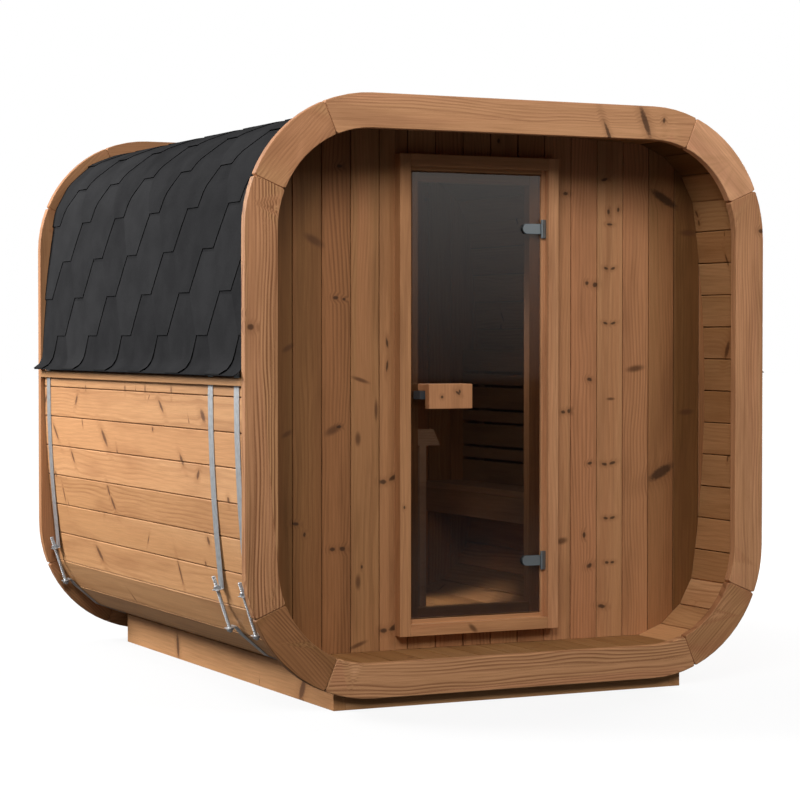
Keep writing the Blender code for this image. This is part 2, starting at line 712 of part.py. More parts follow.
def build_hoops(shell, metal):
    """Steel hoops: an upper and a lower strip, drawn together by a bolt at each lower corner."""
    side_end = shell.left[1]
    corner_end = shell.corner_bottom_left[0]
    down = unit((shell.angles[side_end - 1] + shell.angles[corner_end]) / 2 + 90)
    out = unit((shell.angles[side_end - 1] + shell.angles[corner_end]) / 2)
    seat = shell.joint(side_end, HOOP_OFFSET)
    bolt_seat = shifted(seat, out, BOLT_REACH)
    bolt_line = bolt_seat[0] * out[0] + bolt_seat[1] * out[1]
    upper_end = shifted(shifted(seat, shell.along(side_end - 1), -LUG_ABOVE), out, HOOP_LIFT)
    lower_end = shifted(shifted(seat, shell.along(corner_end), LUG_BELOW), out, HOOP_LIFT)
    upper_reach = bolt_line - upper_end[0] * out[0] - upper_end[1] * out[1] + LUG_MARGIN
    lower_reach = bolt_line - lower_end[0] * out[0] - lower_end[1] * out[1] + LUG_MARGIN
    upper_tip = shifted(upper_end, out, upper_reach)
    lower_tip = shifted(lower_end, out, lower_reach)
    lift_start = side_end - LIFT_STAVES
    half_top = shell.offset_line(shell.top[0] + TOP_STAVES // 2, lift_start, HOOP_OFFSET)
    for i in range(1, LIFT_STAVES):
        half_top.append(shell.joint(lift_start + i, HOOP_OFFSET + HOOP_LIFT * (i / LIFT_STAVES) ** 2))
    upper_left = half_top[1:] + [upper_end, upper_tip]
    upper_line = mirrored(upper_left) + half_top[:1] + upper_left
    floor_line = shell.offset_line(corner_end + 1, shell.corner_bottom_right[1] - 1, HOOP_OFFSET)
    lower_line = (
        [lower_tip, lower_end] + floor_line + [(-lower_end[0], lower_end[1]), (-lower_tip[0], lower_tip[1])]
    )
    upper_at = upper_end[0] * down[0] + upper_end[1] * down[1]
    lower_at = lower_end[0] * down[0] + lower_end[1] * down[1]
    seat_at = bolt_seat[0] * down[0] + bolt_seat[1] * down[1]
    start = upper_at - seat_at - HOOP_THICK - NUT_HEIGHT - BOLT_TAIL
    upper_nut = upper_at - seat_at - HOOP_THICK / 4
    lower_nut = lower_at - seat_at + HOOP_THICK / 4
    profile = [
        (start, BOLT_RADIUS),
        (upper_nut - NUT_HEIGHT, BOLT_RADIUS),
        (upper_nut - NUT_HEIGHT, NUT_RADIUS),
        (upper_nut, NUT_RADIUS),
        (upper_nut, BOLT_RADIUS),
        (lower_nut, BOLT_RADIUS),
        (lower_nut, NUT_RADIUS),
        (lower_nut + NUT_HEIGHT, NUT_RADIUS),
        (lower_nut + NUT_HEIGHT, BOLT_RADIUS),
        (lower_nut + NUT_HEIGHT + BOLT_RADIUS, BOLT_RADIUS),
    ]
    for name, centre in zip(("front", "middle", "rear"), HOOP_CENTRES):
        near = centre - HOOP_WIDTH / 2
        far = near + HOOP_WIDTH
        hoop = prism(f"hoop_{name}", strip_outline(upper_line, HOOP_THICK), "Y", near, far, metal)
        for side, sign in (("left", 1), ("right", -1)):
            bolt = turned(
                f"hoop_bolt_{name}_{side}",
                profile,
                Vector((sign * bolt_seat[0], centre, bolt_seat[1])),
                Vector((sign * down[0], 0, down[1])),
                metal,
            )
            combine(hoop, bolt, "UNION")
        under = prism(
            f"hoop_under_{name}", strip_outline(lower_line, HOOP_THICK), "Y", near, far, metal
        )
        combine(hoop, under, "UNION")


def build_roofing(shell, felt, wood):
    """Roofing over the upper half, flared out at the eaves over a batten on each side."""
    flare_top = EAVES_HEIGHT + ROOFING_THICK / 2 + FLARE_RADIUS * unit(FLARE_DEG)[1]
    side_x = shell.side_x(flare_top, ROOFING_OFFSET)
    last = shell.along(shell.corner_top_right[1] - 1)
    first = shell.along(shell.top[0])

    def side_line(face):
        points = []
        for i in range(FLARE_STEPS, -1, -1):
            out, rise = unit(FLARE_DEG * i / FLARE_STEPS)
            radius = FLARE_RADIUS - face
            points.append((side_x + FLARE_RADIUS - radius * out, flare_top - radius * rise))
        line = shell.offset_line(0, shell.corner_top_right[1] - 1, ROOFING_OFFSET + face)
        points += [point for point in line if point[1] > flare_top + FLARE_RADIUS / 2]
        seam = shell.joint(shell.top[0], ROOFING_OFFSET + face)
        return points + [shifted(seam, last, -GAP / 2)]

    def top_line(face):
        seam = shifted(shell.joint(shell.top[0], ROOFING_OFFSET + face), first, GAP / 2)
        line = shell.offset_line(shell.top[0] + 1, shell.top[1] - 1, ROOFING_OFFSET + face)
        return [seam] + line + [(-seam[0], seam[1])]

    half = ROOFING_THICK / 2
    right = side_line(half) + side_line(-half)[::-1]
    top = top_line(half) + top_line(-half)[::-1]
    for name, outline in (
        ("roofing_right", right),
        ("roofing_top", top),
        ("roofing_left", mirrored(right)),
    ):
        prism(name, outline, "Y", SHELL_FRONT, SHELL_REAR, felt)
    low = EAVES_HEIGHT - BATTEN_DROP
    inner = shell.side_x(low, 2 * GAP + HOOP_THICK)
    outline = [
        (inner, low),
        (inner + BATTEN_THICK, low),
        (inner + BATTEN_THICK, low + BATTEN_HEIGHT),
        (inner, low + BATTEN_HEIGHT),
    ]
    prism("eaves_batten_right", outline, "Y", SHELL_FRONT, SHELL_REAR, wood)
    prism("eaves_batten_left", mirrored(outline), "Y", SHELL_FRONT, SHELL_REAR, wood)


def build_base(shell, wood):
    """A box frame of beams under the floor, inset from the sides."""
    top = FLOOR_UNDER - 2 * GAP - HOOP_THICK
    half = shell.joint(shell.floor[1])[0]
    near = SHELL_FRONT
    far = FRONT + RING_SPACING - BASE_REAR_INSET
    inner = half - BASE_BEAM
    box("base_beam_left", (-half, near, 0.0), (-inner, far, top), wood)
    box("base_beam_right", (inner, near, 0.0), (half, far, top), wood)
    box("base_beam_front", (-inner + GAP, near, 0.0), (inner - GAP, near + BASE_BEAM, top), wood)
    box("base_beam_rear", (-inner + GAP, far - BASE_BEAM, 0.0), (inner - GAP, far, top), wood)


def build_interior(shell, wood):
    """The bench with its backrest along the right side, and the heater guard."""
    near, far = WALL_BACK + GAP, REAR_INSIDE - GAP
    under = BENCH_TOP - BENCH_BOARD
    wall_x = -STAVE_THICK - GAP
    back = shell.side_x(BENCH_TOP, wall_x)
    front = back - BENCH_DEPTH
    seat = [
        (front, under),
        (shell.side_x(under, wall_x), under),
        (back, BENCH_TOP),
        (front, BENCH_TOP),
    ]
    prism("bench_seat", seat, "Y", near, far, wood)
    box(
        "bench_fascia",
        (front, near, under - GAP - FASCIA_HEIGHT),
        (front + FASCIA_THICK, far, under - GAP),
        wood,
    )
    low = BENCH_TOP + GAP
    cleat_front = shell.side_x(low, wall_x) - CLEAT_THICK
    slat_front = cleat_front - SLAT_THICK
    blocks = []
    height = low
    for row in range(SLAT_ROWS):
        top = height + (SLAT_NARROW if row % 2 else SLAT_WIDE)
        blocks.append(((slat_front, near, height), (cleat_front, far, top)))
        height = top + SLAT_GAP
    room = far - near - 2 * CLEAT_INSET - CLEAT_WIDTH
    for i in range(CLEAT_COUNT):
        start = near + CLEAT_INSET + room * i / (CLEAT_COUNT - 1)
        high = (cleat_front + CLEAT_THICK, start + CLEAT_WIDTH, top)
        blocks.append(((cleat_front, start, low), high))
    stepped_block("backrest", blocks, wood)
    face = REAR_INSIDE - GUARD_REACH
    rail_low = GUARD_TOP - GUARD_RAIL
    rail = prism(
        "heater_guard",
        [
            (-GUARD_HALF, rail_low),
            (GUARD_HALF, rail_low),
            (GUARD_HALF - GUARD_BEVEL, GUARD_TOP),
            (-GUARD_HALF + GUARD_BEVEL, GUARD_TOP),
        ],
        "Y",
        face,
        face + GUARD_THICK,
        wood,
    )
    for name, sign in (("left", -1), ("right", 1)):
        ends = sorted((sign * POST_OUTER, sign * (POST_OUTER - POST_WIDTH)))
        post = box(
            f"guard_post_{name}",
            (ends[0], face, FLOOR_TOP + GAP),
            (ends[1], face + GUARD_THICK, rail_low + GUARD_RAIL / 2),
            wood,
        )
        combine(rail, post, "UNION")


def main():
    clear_scene()
    ring_wood = make_material("ring_timber", (0.36, 0.18, 0.09), 0.55)
    stave_wood = make_material("stave_timber", (0.56, 0.30, 0.14), 0.55)
    wall_wood = make_material("wall_timber", (0.30, 0.14, 0.07), 0.6)
    inner_wood = make_material("bench_timber", (0.32, 0.16, 0.08), 0.6)
    felt = make_material("roof_shingle", (0.03, 0.03, 0.03), 0.9)
    steel = make_material("hoop_steel", (0.35, 0.37, 0.38), 0.4, metallic=1.0)
    hinge_metal = make_material("hinge_metal", (0.25, 0.27, 0.28), 0.35, metallic=1.0)
    glass = make_material("tinted_glass", (0.05, 0.045, 0.04), 0.05, alpha=0.35)
    dark = make_material("latch_plastic", (0.02, 0.022, 0.025), 0.5)
    shell = Shell()
    build_ring("front_ring", FRONT, ring_wood)
    build_ring("rear_ring", FRONT + RING_SPACING, ring_wood)
    build_shell(shell, stave_wood)
    build_walls(shell, wall_wood)
    build_door_frame(wall_wood)
    build_door(glass, hinge_metal, wall_wood, dark)
    build_hoops(shell, steel)
    build_roofing(shell, felt, stave_wood)
    build_base(shell, stave_wood)
    build_interior(shell, inner_wood)


main()
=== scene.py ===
"""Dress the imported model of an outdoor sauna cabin.

The cabin is a coopered shell of heat-treated softwood staves between two segmented
end rings, with a boarded front, a tinted glass door, steel hoops and hexagonal felt
shingles. Metres, +Z up, the front faces -Y.
"""

import math
from functools import partial

import bmesh
import bpy
import numpy as np
from mathutils import Matrix, Vector


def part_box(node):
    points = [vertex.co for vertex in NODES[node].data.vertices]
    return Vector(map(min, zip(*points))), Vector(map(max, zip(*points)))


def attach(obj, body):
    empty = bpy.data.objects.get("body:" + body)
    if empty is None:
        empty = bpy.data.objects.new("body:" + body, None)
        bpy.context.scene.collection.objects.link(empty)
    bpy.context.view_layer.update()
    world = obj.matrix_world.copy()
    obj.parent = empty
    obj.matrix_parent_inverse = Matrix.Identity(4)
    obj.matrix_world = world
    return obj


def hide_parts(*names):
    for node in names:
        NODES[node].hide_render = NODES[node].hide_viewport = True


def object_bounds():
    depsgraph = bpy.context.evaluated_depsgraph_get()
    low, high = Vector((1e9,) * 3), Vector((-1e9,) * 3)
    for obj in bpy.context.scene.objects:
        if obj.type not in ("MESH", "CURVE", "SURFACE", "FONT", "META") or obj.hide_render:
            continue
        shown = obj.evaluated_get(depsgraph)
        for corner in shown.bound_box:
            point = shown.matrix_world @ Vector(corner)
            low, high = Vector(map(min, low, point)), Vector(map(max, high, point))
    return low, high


bl_info = {
    "name": "Outdoor sauna cabin",
    "version": (1, 0, 0),
    "blender": (4, 5, 0),
    "location": "View3D > Sidebar > Sauna",
    "description": "Builds the finishes of an outdoor sauna cabin round its packed frame",
    "category": "Object",
}

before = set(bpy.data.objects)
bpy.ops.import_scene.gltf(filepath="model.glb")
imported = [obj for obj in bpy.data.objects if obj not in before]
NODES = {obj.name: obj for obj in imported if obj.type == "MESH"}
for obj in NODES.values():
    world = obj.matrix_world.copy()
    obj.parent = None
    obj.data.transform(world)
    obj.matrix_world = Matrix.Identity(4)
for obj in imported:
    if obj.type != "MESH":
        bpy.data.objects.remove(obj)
CABIN, DOOR = "cabin", "door"
CAD_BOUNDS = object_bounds()

SHELL_LOW, SHELL_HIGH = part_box("shell_floor")
RING_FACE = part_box("front_ring_top")[0].y
WALL_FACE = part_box("front_wall_left")[0].y
MID_HEIGHT = (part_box("front_ring_top")[1].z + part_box("front_ring_bottom")[0].z) / 2
X_AXIS, Y_AXIS, Z_AXIS = Vector((1, 0, 0)), Vector((0, 1, 0)), Vector((0, 0, 1))


# Node trees

PLUS, MINUS = "ShaderNodeMath ADD", "ShaderNodeMath SUBTRACT"
TIMES, OVER = "ShaderNodeMath MULTIPLY", "ShaderNodeMath DIVIDE"
TIMES_PLUS = "ShaderNodeMath MULTIPLY_ADD"
HIGHER = "ShaderNodeMath MAXIMUM"
ROOT = "ShaderNodeMath SQRT"
STRETCH = "ShaderNodeVectorMath MULTIPLY"
MOVE = "ShaderNodeVectorMath ADD"
SOFT_STEP = "ShaderNodeMapRange SMOOTHSTEP"
BLEND = "ShaderNodeMix MIX"
NOISE = "ShaderNodeTexNoise"
SPLIT, COMBINE = "ShaderNodeSeparateXYZ", "ShaderNodeCombineXYZ"


def srgb(code):
    """Linear RGBA from an sRGB hex colour."""
    values = [int(code[i : i + 2], 16) / 255 for i in (1, 3, 5)]
    return (*[v / 12.92 if v <= 0.04045 else ((v + 0.055) / 1.055) ** 2.4 for v in values], 1.0)


def add_node(tree, kind, *values, **settings):
    """Add a node, set its properties, and fill or link its inputs, in order or by name.

    kind is the node's type and, after a space, its operation, blending or interpolation.
    A node given as a value stands for its first output.
    """
    kind, _, mode = kind.partition(" ")
    node = tree.nodes.new(kind)
    for name in ("operation", "blend_type", "interpolation_type"):
        if mode and hasattr(node, name):
            setattr(node, name, mode)
    for name, value in settings.items():
        setattr(node, name, value)
    in_use = [socket for socket in node.inputs if socket.enabled]
    pairs = []
    for i, value in enumerate(values):
        pairs += value.items() if isinstance(value, dict) else [(i, value)]
    for key, value in pairs:
        socket = in_use[key] if isinstance(key, int) else node.inputs[key]
        if isinstance(value, bpy.types.Node):
            value = next(output for output in value.outputs if output.enabled)
        if isinstance(value, bpy.types.NodeSocket):
            tree.links.new(value, socket)
        else:
            socket.default_value = value
    return node


def new_material(name):
    """An empty material, and add_node for its tree."""
    made = bpy.data.materials.new(name)
    made.use_nodes = True
    made.node_tree.nodes.clear()
    return made, partial(add_node, made.node_tree)


def new_group(name, **labels):
    """A geometry node group with named inputs, given by kind; their keys; add_node for the
    group; and the outputs of its input node."""
    tree = bpy.data.node_groups.new(name, "GeometryNodeTree")
    keys = {}
    for kind, names in {"Geometry": ["Geometry"], **labels, "Material": ["Material"]}.items():
        for label in names:
            made = tree.interface.new_socket(
                label, in_out="INPUT", socket_type=f"NodeSocket{kind}"
            )
            keys[label] = made.identifier
    tree.interface.new_socket("Geometry", in_out="OUTPUT", socket_type="NodeSocketGeometry")
    add = partial(add_node, tree)
    return tree, keys, add, add("NodeGroupInput").outputs


def end_group(add, geometry, given):
    """Close a geometry node group with real geometry in its material."""
    real = add("GeometryNodeRealizeInstances", geometry)
    dressed = {"Geometry": real, "Material": given["Material"]}
    add("NodeGroupOutput", add("GeometryNodeSetMaterial", dressed))


# Timber

NO_KNOT = 9.0  # how near a knot is where there is none
STREAKS = 0.4  # share of the dark clouds in the colour
SHEEN = 0.58  # roughness of oiled timber


def scattered_knots(add, place, cell, density, slim, tall, lean):
    """How near the next scattered knot is: 1 at its edge and less inside it.

    cell is how far apart knots can be along and across the board. slim and tall are a
    knot's half sizes along and across the grain, and lean is how far it may slant.
    """
    scaled = add(STRETCH, place, (1 / cell[0], 1 / cell[1], 0.0))
    cells = add(
        "ShaderNodeTexVoronoi",
        {"Vector": scaled, "Scale": 1.0, "Randomness": 0.9},
        voronoi_dimensions="2D",
    ).outputs
    offset = add("ShaderNodeVectorMath SUBTRACT", scaled, cells["Position"])
    away = add(SPLIT, add(STRETCH, offset, (*cell, 0.0))).outputs
    chance = add("ShaderNodeSeparateColor", cells["Color"]).outputs
    slant = add(TIMES, add(MINUS, chance[1], 0.5), lean)
    along = add(TIMES_PLUS, away["Y"], slant, away["X"])
    size = add(TIMES_PLUS, chance[2], 0.9, 0.5)
    u = add(OVER, along, add(TIMES, size, slim))
    v = add(OVER, away["Y"], add(TIMES, size, tall))
    square = add(TIMES_PLUS, u, u, add(TIMES, v, v))
    absent = add(TIMES, add("ShaderNodeMath GREATER_THAN", chance[0], density), NO_KNOT)
    return add(HIGHER, add(ROOT, square), absent)


def placed_marks(add, near, marks):
    """The nearer of the marks so far and those listed: (centre, turn, half sizes)."""
    spot = add("ShaderNodeTexCoord").outputs["Object"]
    for centre, turn, size in marks:
        where = {"Vector": spot, "Location": centre, "Rotation": turn, "Scale": size}
        own = add("ShaderNodeMapping", where, vector_type="TEXTURE")
        near = add("ShaderNodeMath MINIMUM", near, add("ShaderNodeVectorMath LENGTH", own))
    return near


def facing_front(y, *rows):
    """Marks on a face that looks forward, from rows of x, z, half length, half width, degrees."""
    return [
        ((x, y, z), (0.0, -math.radians(turn), 0.0), (long, 0.03, wide))
        for x, z, long, wide, turn in rows
    ]


def facing_left(x, *rows):
    """Marks on a face that looks left, from rows of y, z, half length, half width, degrees."""
    return [
        ((x, y, z), (math.radians(turn), 0.0, 0.0), (0.12, long, wide))
        for y, z, long, wide, turn in rows
    ]


def timber(name, marks, pale, ruddy, dark, knot, spacing, contrast, cell, density, size, lean):
    """Heat-treated spruce, planed and oiled.

    Each board has its own stretch of growth rings and a shade, which is partly its own
    tone and partly painted light and shade. Late wood shows as thin darker lines along
    the board, bent round the knots, and fine fibres roughen it.
    The real rings are 2 to 4 mm apart, too fine to show, so spacing draws them coarser.
    """
    made, add = new_material(name)
    grain = add("ShaderNodeAttribute", attribute_name="grain").outputs["Vector"]
    board, figure, shade = (
        add("ShaderNodeAttribute", attribute_name=key).outputs["Fac"]
        for key in ("board", "figure", "shade")
    )
    place = add(MOVE, grain, add(COMBINE, add(TIMES, board, 73.0), add(TIMES, board, 29.0)))
    near = scattered_knots(add, place, cell, density, *size, lean)
    near = placed_marks(add, near, marks[0])
    soft = placed_marks(add, NO_KNOT, marks[1])
    mask = add(SOFT_STEP, add(TIMES_PLUS, add(NOISE, place, 170.0, 2.0), 0.7, near), 1.75, 1.0)
    halo = add(SOFT_STEP, near, 4.0, 0.9)
    wander, uneven, strength, fibre, cloud = (
        add(NOISE, add(STRETCH, place, (along, across, across)), 1.0, detail)
        for along, across, detail in (
            (1.3, 4.0, 2.0), (0.6, 11.0, 3.0), (1.2, 22.0, 2.0), (8.0, 380.0, 3.0), (1.8, 13.0, 3.0)
        )
    )

    own = add(SPLIT, grain).outputs
    luck = add("ShaderNodeTexWhiteNoise", {"W": board}, noise_dimensions="1D")
    chance = add("ShaderNodeSeparateColor", luck.outputs["Color"]).outputs
    across = add(PLUS, own["Y"], add(TIMES_PLUS, chance[0], 0.22, -0.11))
    across = add(TIMES_PLUS, wander, 0.09, across)
    across = add(TIMES_PLUS, halo, 0.012, across)
    deep = add(PLUS, add(TIMES_PLUS, chance[1], 0.05, 0.02), own["Z"])
    square = add(TIMES_PLUS, across, across, add(TIMES, deep, deep))
    ring = add(TIMES_PLUS, uneven, spacing * 1.6, add(ROOT, square))
    turn = add("ShaderNodeMath FRACT", add(OVER, ring, spacing))
    late = add(TIMES, add(SOFT_STEP, turn, 0.3, 0.82), add(SOFT_STEP, turn, 1.0, 0.88))
    late = add(TIMES, late, add(SOFT_STEP, strength, 0.3, 0.65, 0.2, 1.0))
    late = add(TIMES, late, figure)

    mix = partial(add, BLEND, data_type="RGBA")
    colour = mix(chance[0], srgb(pale), srgb(ruddy))
    colour = mix(add(TIMES, late, contrast), colour, srgb(dark))
    colour = mix(add(TIMES, add(SOFT_STEP, cloud, 0.45, 0.75), STREAKS), colour, srgb(dark))
    # The board's shade scales its colour, in places as painted light and shade
    tone = add(TIMES, add(TIMES_PLUS, chance[2], 0.22, 0.88), shade)
    tone = add(TIMES, tone, add(SOFT_STEP, fibre, 0.2, 0.8, 0.86, 1.1))
    # Green and blue follow the shade more steeply: boards with a high shade turn paler and greyer,
    # a painted sheen of light from above, and dark boards turn deeper
    green, blue = (add("ShaderNodeMath POWER", tone, power) for power in (1.1, 1.45))
    tones = add(COMBINE, tone, green, blue)
    colour = add("ShaderNodeMix MULTIPLY", 1.0, colour, tones, data_type="RGBA")
    smudge = add(TIMES, add(SOFT_STEP, soft, 1.6, 0.4), 0.85)
    colour = mix(smudge, colour, mix(0.45, srgb(dark), srgb(knot)))
    colour = mix(add(TIMES, halo, 0.3), colour, srgb(dark))
    colour = mix(add(TIMES, mask, 0.8), colour, srgb(knot))
    height = add(TIMES_PLUS, late, 0.5, add(TIMES, fibre, 0.5))
    height = add(TIMES_PLUS, mask, 0.6, height)
    relief = {"Strength": 0.35, "Distance": 0.0008, "Height": height}
    surface = {
        "Base Color": colour,
        "Roughness": add(SOFT_STEP, fibre, 0.2, 0.8, SHEEN - 0.06, SHEEN + 0.08),
        "IOR": 1.45,
        "Specular IOR Level": 0.2,
        "Normal": add("ShaderNodeBump", relief),
    }
    add("ShaderNodeOutputMaterial", {"Surface": add("ShaderNodeBsdfPrincipled", surface)})
    return made


# Knots that stand out on the real cabin, in metres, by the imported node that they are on

PLACED_KNOTS = {
    "front_wall_left": facing_front(
        WALL_FACE,
        (-0.56, 1.408, 0.01, 0.006, -4), (-0.528, 1.403, 0.006, 0.0048, -6),
        (-0.544, 1.869, 0.009, 0.0056, 2), (-0.573, 0.525, 0.01, 0.0064, 2),
        (-0.535, 0.525, 0.011, 0.0076, -6), (-0.376, 0.757, 0.012, 0.0076, -1),
        (-0.334, 0.772, 0.019, 0.0072, 28), (-0.374, 0.228, 0.012, 0.008, -3),
        (-0.333, 0.237, 0.018, 0.0088, 26), (-0.714, 0.619, 0.012, 0.0056, -9),
        (-0.547, 0.955, 0.009, 0.005, 5), (-0.36, 1.249, 0.004, 0.016, 8),
        (-0.36, 1.168, 0.004, 0.018, -6),
    ),
    "front_wall_right": facing_front(
        WALL_FACE,
        (0.782, 0.764, 0.053, 0.0175, 28), (0.793, 1.787, 0.058, 0.0151, -29),
        (0.555, 1.688, 0.011, 0.004, -3), (0.54, 1.525, 0.009, 0.0044, -18),
        (0.57, 1.525, 0.009, 0.0044, 20), (0.538, 1.322, 0.009, 0.0044, -17),
        (0.571, 1.322, 0.01, 0.0044, 15), (0.458, 1.47, 0.007, 0.0064, 1),
        (0.493, 1.464, 0.01, 0.008, 22), (0.533, 1.853, 0.014, 0.0052, 14),
        (0.367, 1.797, 0.01, 0.0064, 2), (0.535, 0.799, 0.011, 0.0052, -11),
        (0.569, 0.803, 0.012, 0.0052, 15), (0.541, 0.598, 0.009, 0.0048, -7),
        (0.57, 0.599, 0.01, 0.0048, 11), (0.546, 0.433, 0.008, 0.0048, -8),
        (0.57, 0.433, 0.008, 0.0044, 9), (0.524, 0.271, 0.015, 0.0064, -9),
        (0.472, 0.804, 0.009, 0.0052, 13), (0.471, 0.424, 0.011, 0.0076, 25),
        (0.47, 1.114, 0.01, 0.006, -10), (0.358, 0.995, 0.008, 0.006, 0),
        (0.383, 0.998, 0.007, 0.007, 20),
    ),
    "shell_right": facing_left(
        0.93,
        (-0.984, 1.223, 0.034, 0.011, 116), (-1.015, 1.556, 0.022, 0.005, 70),
        (-0.846, 1.734, 0.014, 0.006, 60), (-0.853, 1.7, 0.01, 0.006, 90),
    ),
    "door_handle_outer": facing_front(
        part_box("door_handle_outer")[0].y,
        (-0.194, 1.058, 0.005, 0.005, 45), (-0.131, 1.072, 0.01, 0.004, -35),
        (-0.124, 1.077, 0.004, 0.006, 10),
    ),
    "front_ring_top": facing_front(
        RING_FACE, (0.372, 1.976, 0.06, 0.0064, -68), (0.519, 2.04, 0.053, 0.0104, -69)
    ),
    "front_ring_left": facing_front(RING_FACE, (-1.008, 1.303, 0.011, 0.0096, 0)),
    "front_ring_right": facing_front(RING_FACE, (1.017, 1.66, 0.01, 0.0072, -10)),
    "shell_left": facing_left(
        -0.97,
        (1.09, 1.011, 0.038, 0.0082, 142), (0.684, 1.021, 0.023, 0.0082, 127),
        (-0.287, 1.02, 0.031, 0.0082, -140), (-0.705, 0.996, 0.028, 0.0145, -139),
        (0.961, 0.883, 0.043, 0.0073, -136), (0.354, 0.882, 0.043, 0.0118, -137),
        (-0.195, 0.933, 0.008, 0.0064, -106), (-0.766, 0.931, 0.006, 0.0064, -109),
        (-0.483, 0.833, 0.025, 0.0091, -135), (0.755, 0.79, 0.029, 0.0073, -128),
        (-0.637, 0.788, 0.02, 0.0091, 133), (0.994, 0.708, 0.012, 0.0073, -116),
        (0.907, 0.631, 0.033, 0.0045, -111), (0.341, 0.676, 0.023, 0.0073, -120),
        (0.301, 0.63, 0.033, 0.0082, -132), (0.535, 0.416, 0.04, 0.0109, -141),
        (-0.686, 0.559, 0.015, 0.01, -119), (-0.634, 0.473, 0.009, 0.0064, -103),
        (-0.363, 0.42, 0.042, 0.0064, -108), (-0.91, 0.715, 0.011, 0.0091, -119),
        (0.567, 1.07, 0.01, 0.0045, -97), (0.102, 1.077, 0.011, 0.0055, -96),
        (-0.12, 1.078, 0.013, 0.0055, -94), (-0.394, 1.08, 0.013, 0.0055, -94),
    ),
    "base_beam_left": facing_left(
        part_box("base_beam_left")[0].x,
        (0.392, 0.051, 0.043, 0.0136, -99), (-0.835, 0.039, 0.042, 0.0182, -57),
    ),
}
PLACED_SMUDGES = {
    "front_wall_left": facing_front(
        WALL_FACE,
        (-0.642, 1.607, 0.036, 0.0135, -28), (-0.742, 1.232, 0.022, 0.009, 32),
        (-0.746, 0.933, 0.02, 0.008, 30), (-0.57, 0.944, 0.03, 0.013, 26),
        (-0.464, 1.119, 0.032, 0.0065, -18), (-0.474, 0.182, 0.032, 0.007, 20),
        (-0.403, 1.012, 0.006, 0.032, 0), (-0.474, 0.911, 0.01, 0.022, 0),
        (-0.474, 0.405, 0.009, 0.024, 0),
    ),
    "front_wall_right": facing_front(
        WALL_FACE,
        (0.667, 1.153, 0.034, 0.011, 8), (0.899, 1.663, 0.036, 0.011, 0),
        (0.892, 0.988, 0.03, 0.01, 4), (0.561, 1.041, 0.016, 0.005, 0),
        (0.353, 0.52, 0.022, 0.011, 10),
    ),
    "door_sill": facing_front(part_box("door_sill")[0].y, (-0.038, 0.224, 0.02, 0.0085, -42)),
}


# Steel, glass, plastic and felt


def zinc_steel(name, code, roughness):
    """Galvanised steel strip and screws: cold-rolled, dull grey, with faint cloudy zinc."""
    made, add = new_material(name)
    place = add("ShaderNodeTexCoord").outputs["Object"]
    cloud = add(SOFT_STEP, add(NOISE, place, 60.0, 3.0), 0.3, 0.7, 0.0, 0.3)
    fine = add(NOISE, place, 300.0, 2.0)
    surface = {
        "Base Color": add(BLEND, cloud, srgb(code), srgb("#7c8082"), data_type="RGBA"),
        "Metallic": 0.85,
        "Roughness": add(SOFT_STEP, fine, 0.3, 0.7, roughness - 0.06, roughness + 0.08),
    }
    add("ShaderNodeOutputMaterial", {"Surface": add("ShaderNodeBsdfPrincipled", surface)})
    return made


def bronze_glass(name):
    """Toughened 8 mm glass, bronze-tinted: one pane, so light passes without bending."""
    made, add = new_material(name)
    clear = add("ShaderNodeBsdfTransparent", {"Color": srgb("#dad5cf")})
    gloss = add("ShaderNodeBsdfGlossy", {"Color": (1.0, 1.0, 1.0, 1.0), "Roughness": 0.03})
    mixed = add("ShaderNodeMixShader", add("ShaderNodeFresnel", {"IOR": 1.5}), clear, gloss)
    add("ShaderNodeOutputMaterial", {"Surface": mixed})
    return made


def moulded_plastic(name):
    """Moulded nylon: even dark grey with a fine satin texture."""
    made, add = new_material(name)
    speck = add(NOISE, add("ShaderNodeTexCoord").outputs["Object"], 900.0, 2.0)
    relief = {"Strength": 0.2, "Distance": 0.0003, "Height": speck}
    surface = {
        "Base Color": srgb("#34383c"),
        "Roughness": add(SOFT_STEP, speck, 0.3, 0.7, 0.42, 0.55),
        "Normal": add("ShaderNodeBump", relief),
    }
    add("ShaderNodeOutputMaterial", {"Surface": add("ShaderNodeBsdfPrincipled", surface)})
    return made


def felt_shingle(name):
    """Bitumen felt pressed with slate granules: near black, matt, with a fine grit.

    The grit is about 1 mm, drawn at 2 mm so that it shows. Edges marked cut are near
    black: on the caps as real dark bitumen, on the tabs as painted shade on the edges
    that do not face the rear.
    """
    made, add = new_material(name)
    place = add("ShaderNodeTexCoord").outputs["Object"]
    tab, cut = (
        add("ShaderNodeAttribute", attribute_name=key).outputs["Fac"] for key in ("tab", "cut")
    )
    grit = add(NOISE, place, 480.0, 2.0, 0.7)
    cloud = add(SOFT_STEP, add(NOISE, place, 9.0, 3.0), 0.3, 0.7, 0.0, 0.2)
    share = add(TIMES_PLUS, add(SOFT_STEP, grit, 0.35, 0.7), 0.35, 0.15)
    share = add(PLUS, add(PLUS, share, add(TIMES, tab, 0.22)), cloud)
    colour = add(BLEND, share, srgb("#1d1d1e"), srgb("#363637"), data_type="RGBA")
    relief = {"Strength": 0.4, "Distance": 0.001, "Height": grit}
    surface = {
        # Near black on marked cut edges: real bitumen on the caps, painted shade on the tabs
        "Base Color": add(BLEND, cut, colour, srgb("#080808"), data_type="RGBA"),
        "Roughness": 0.9,
        "Specular IOR Level": 0.0,
        "Normal": add("ShaderNodeBump", relief),
    }
    add("ShaderNodeOutputMaterial", {"Surface": add("ShaderNodeBsdfPrincipled", surface)})
    return made


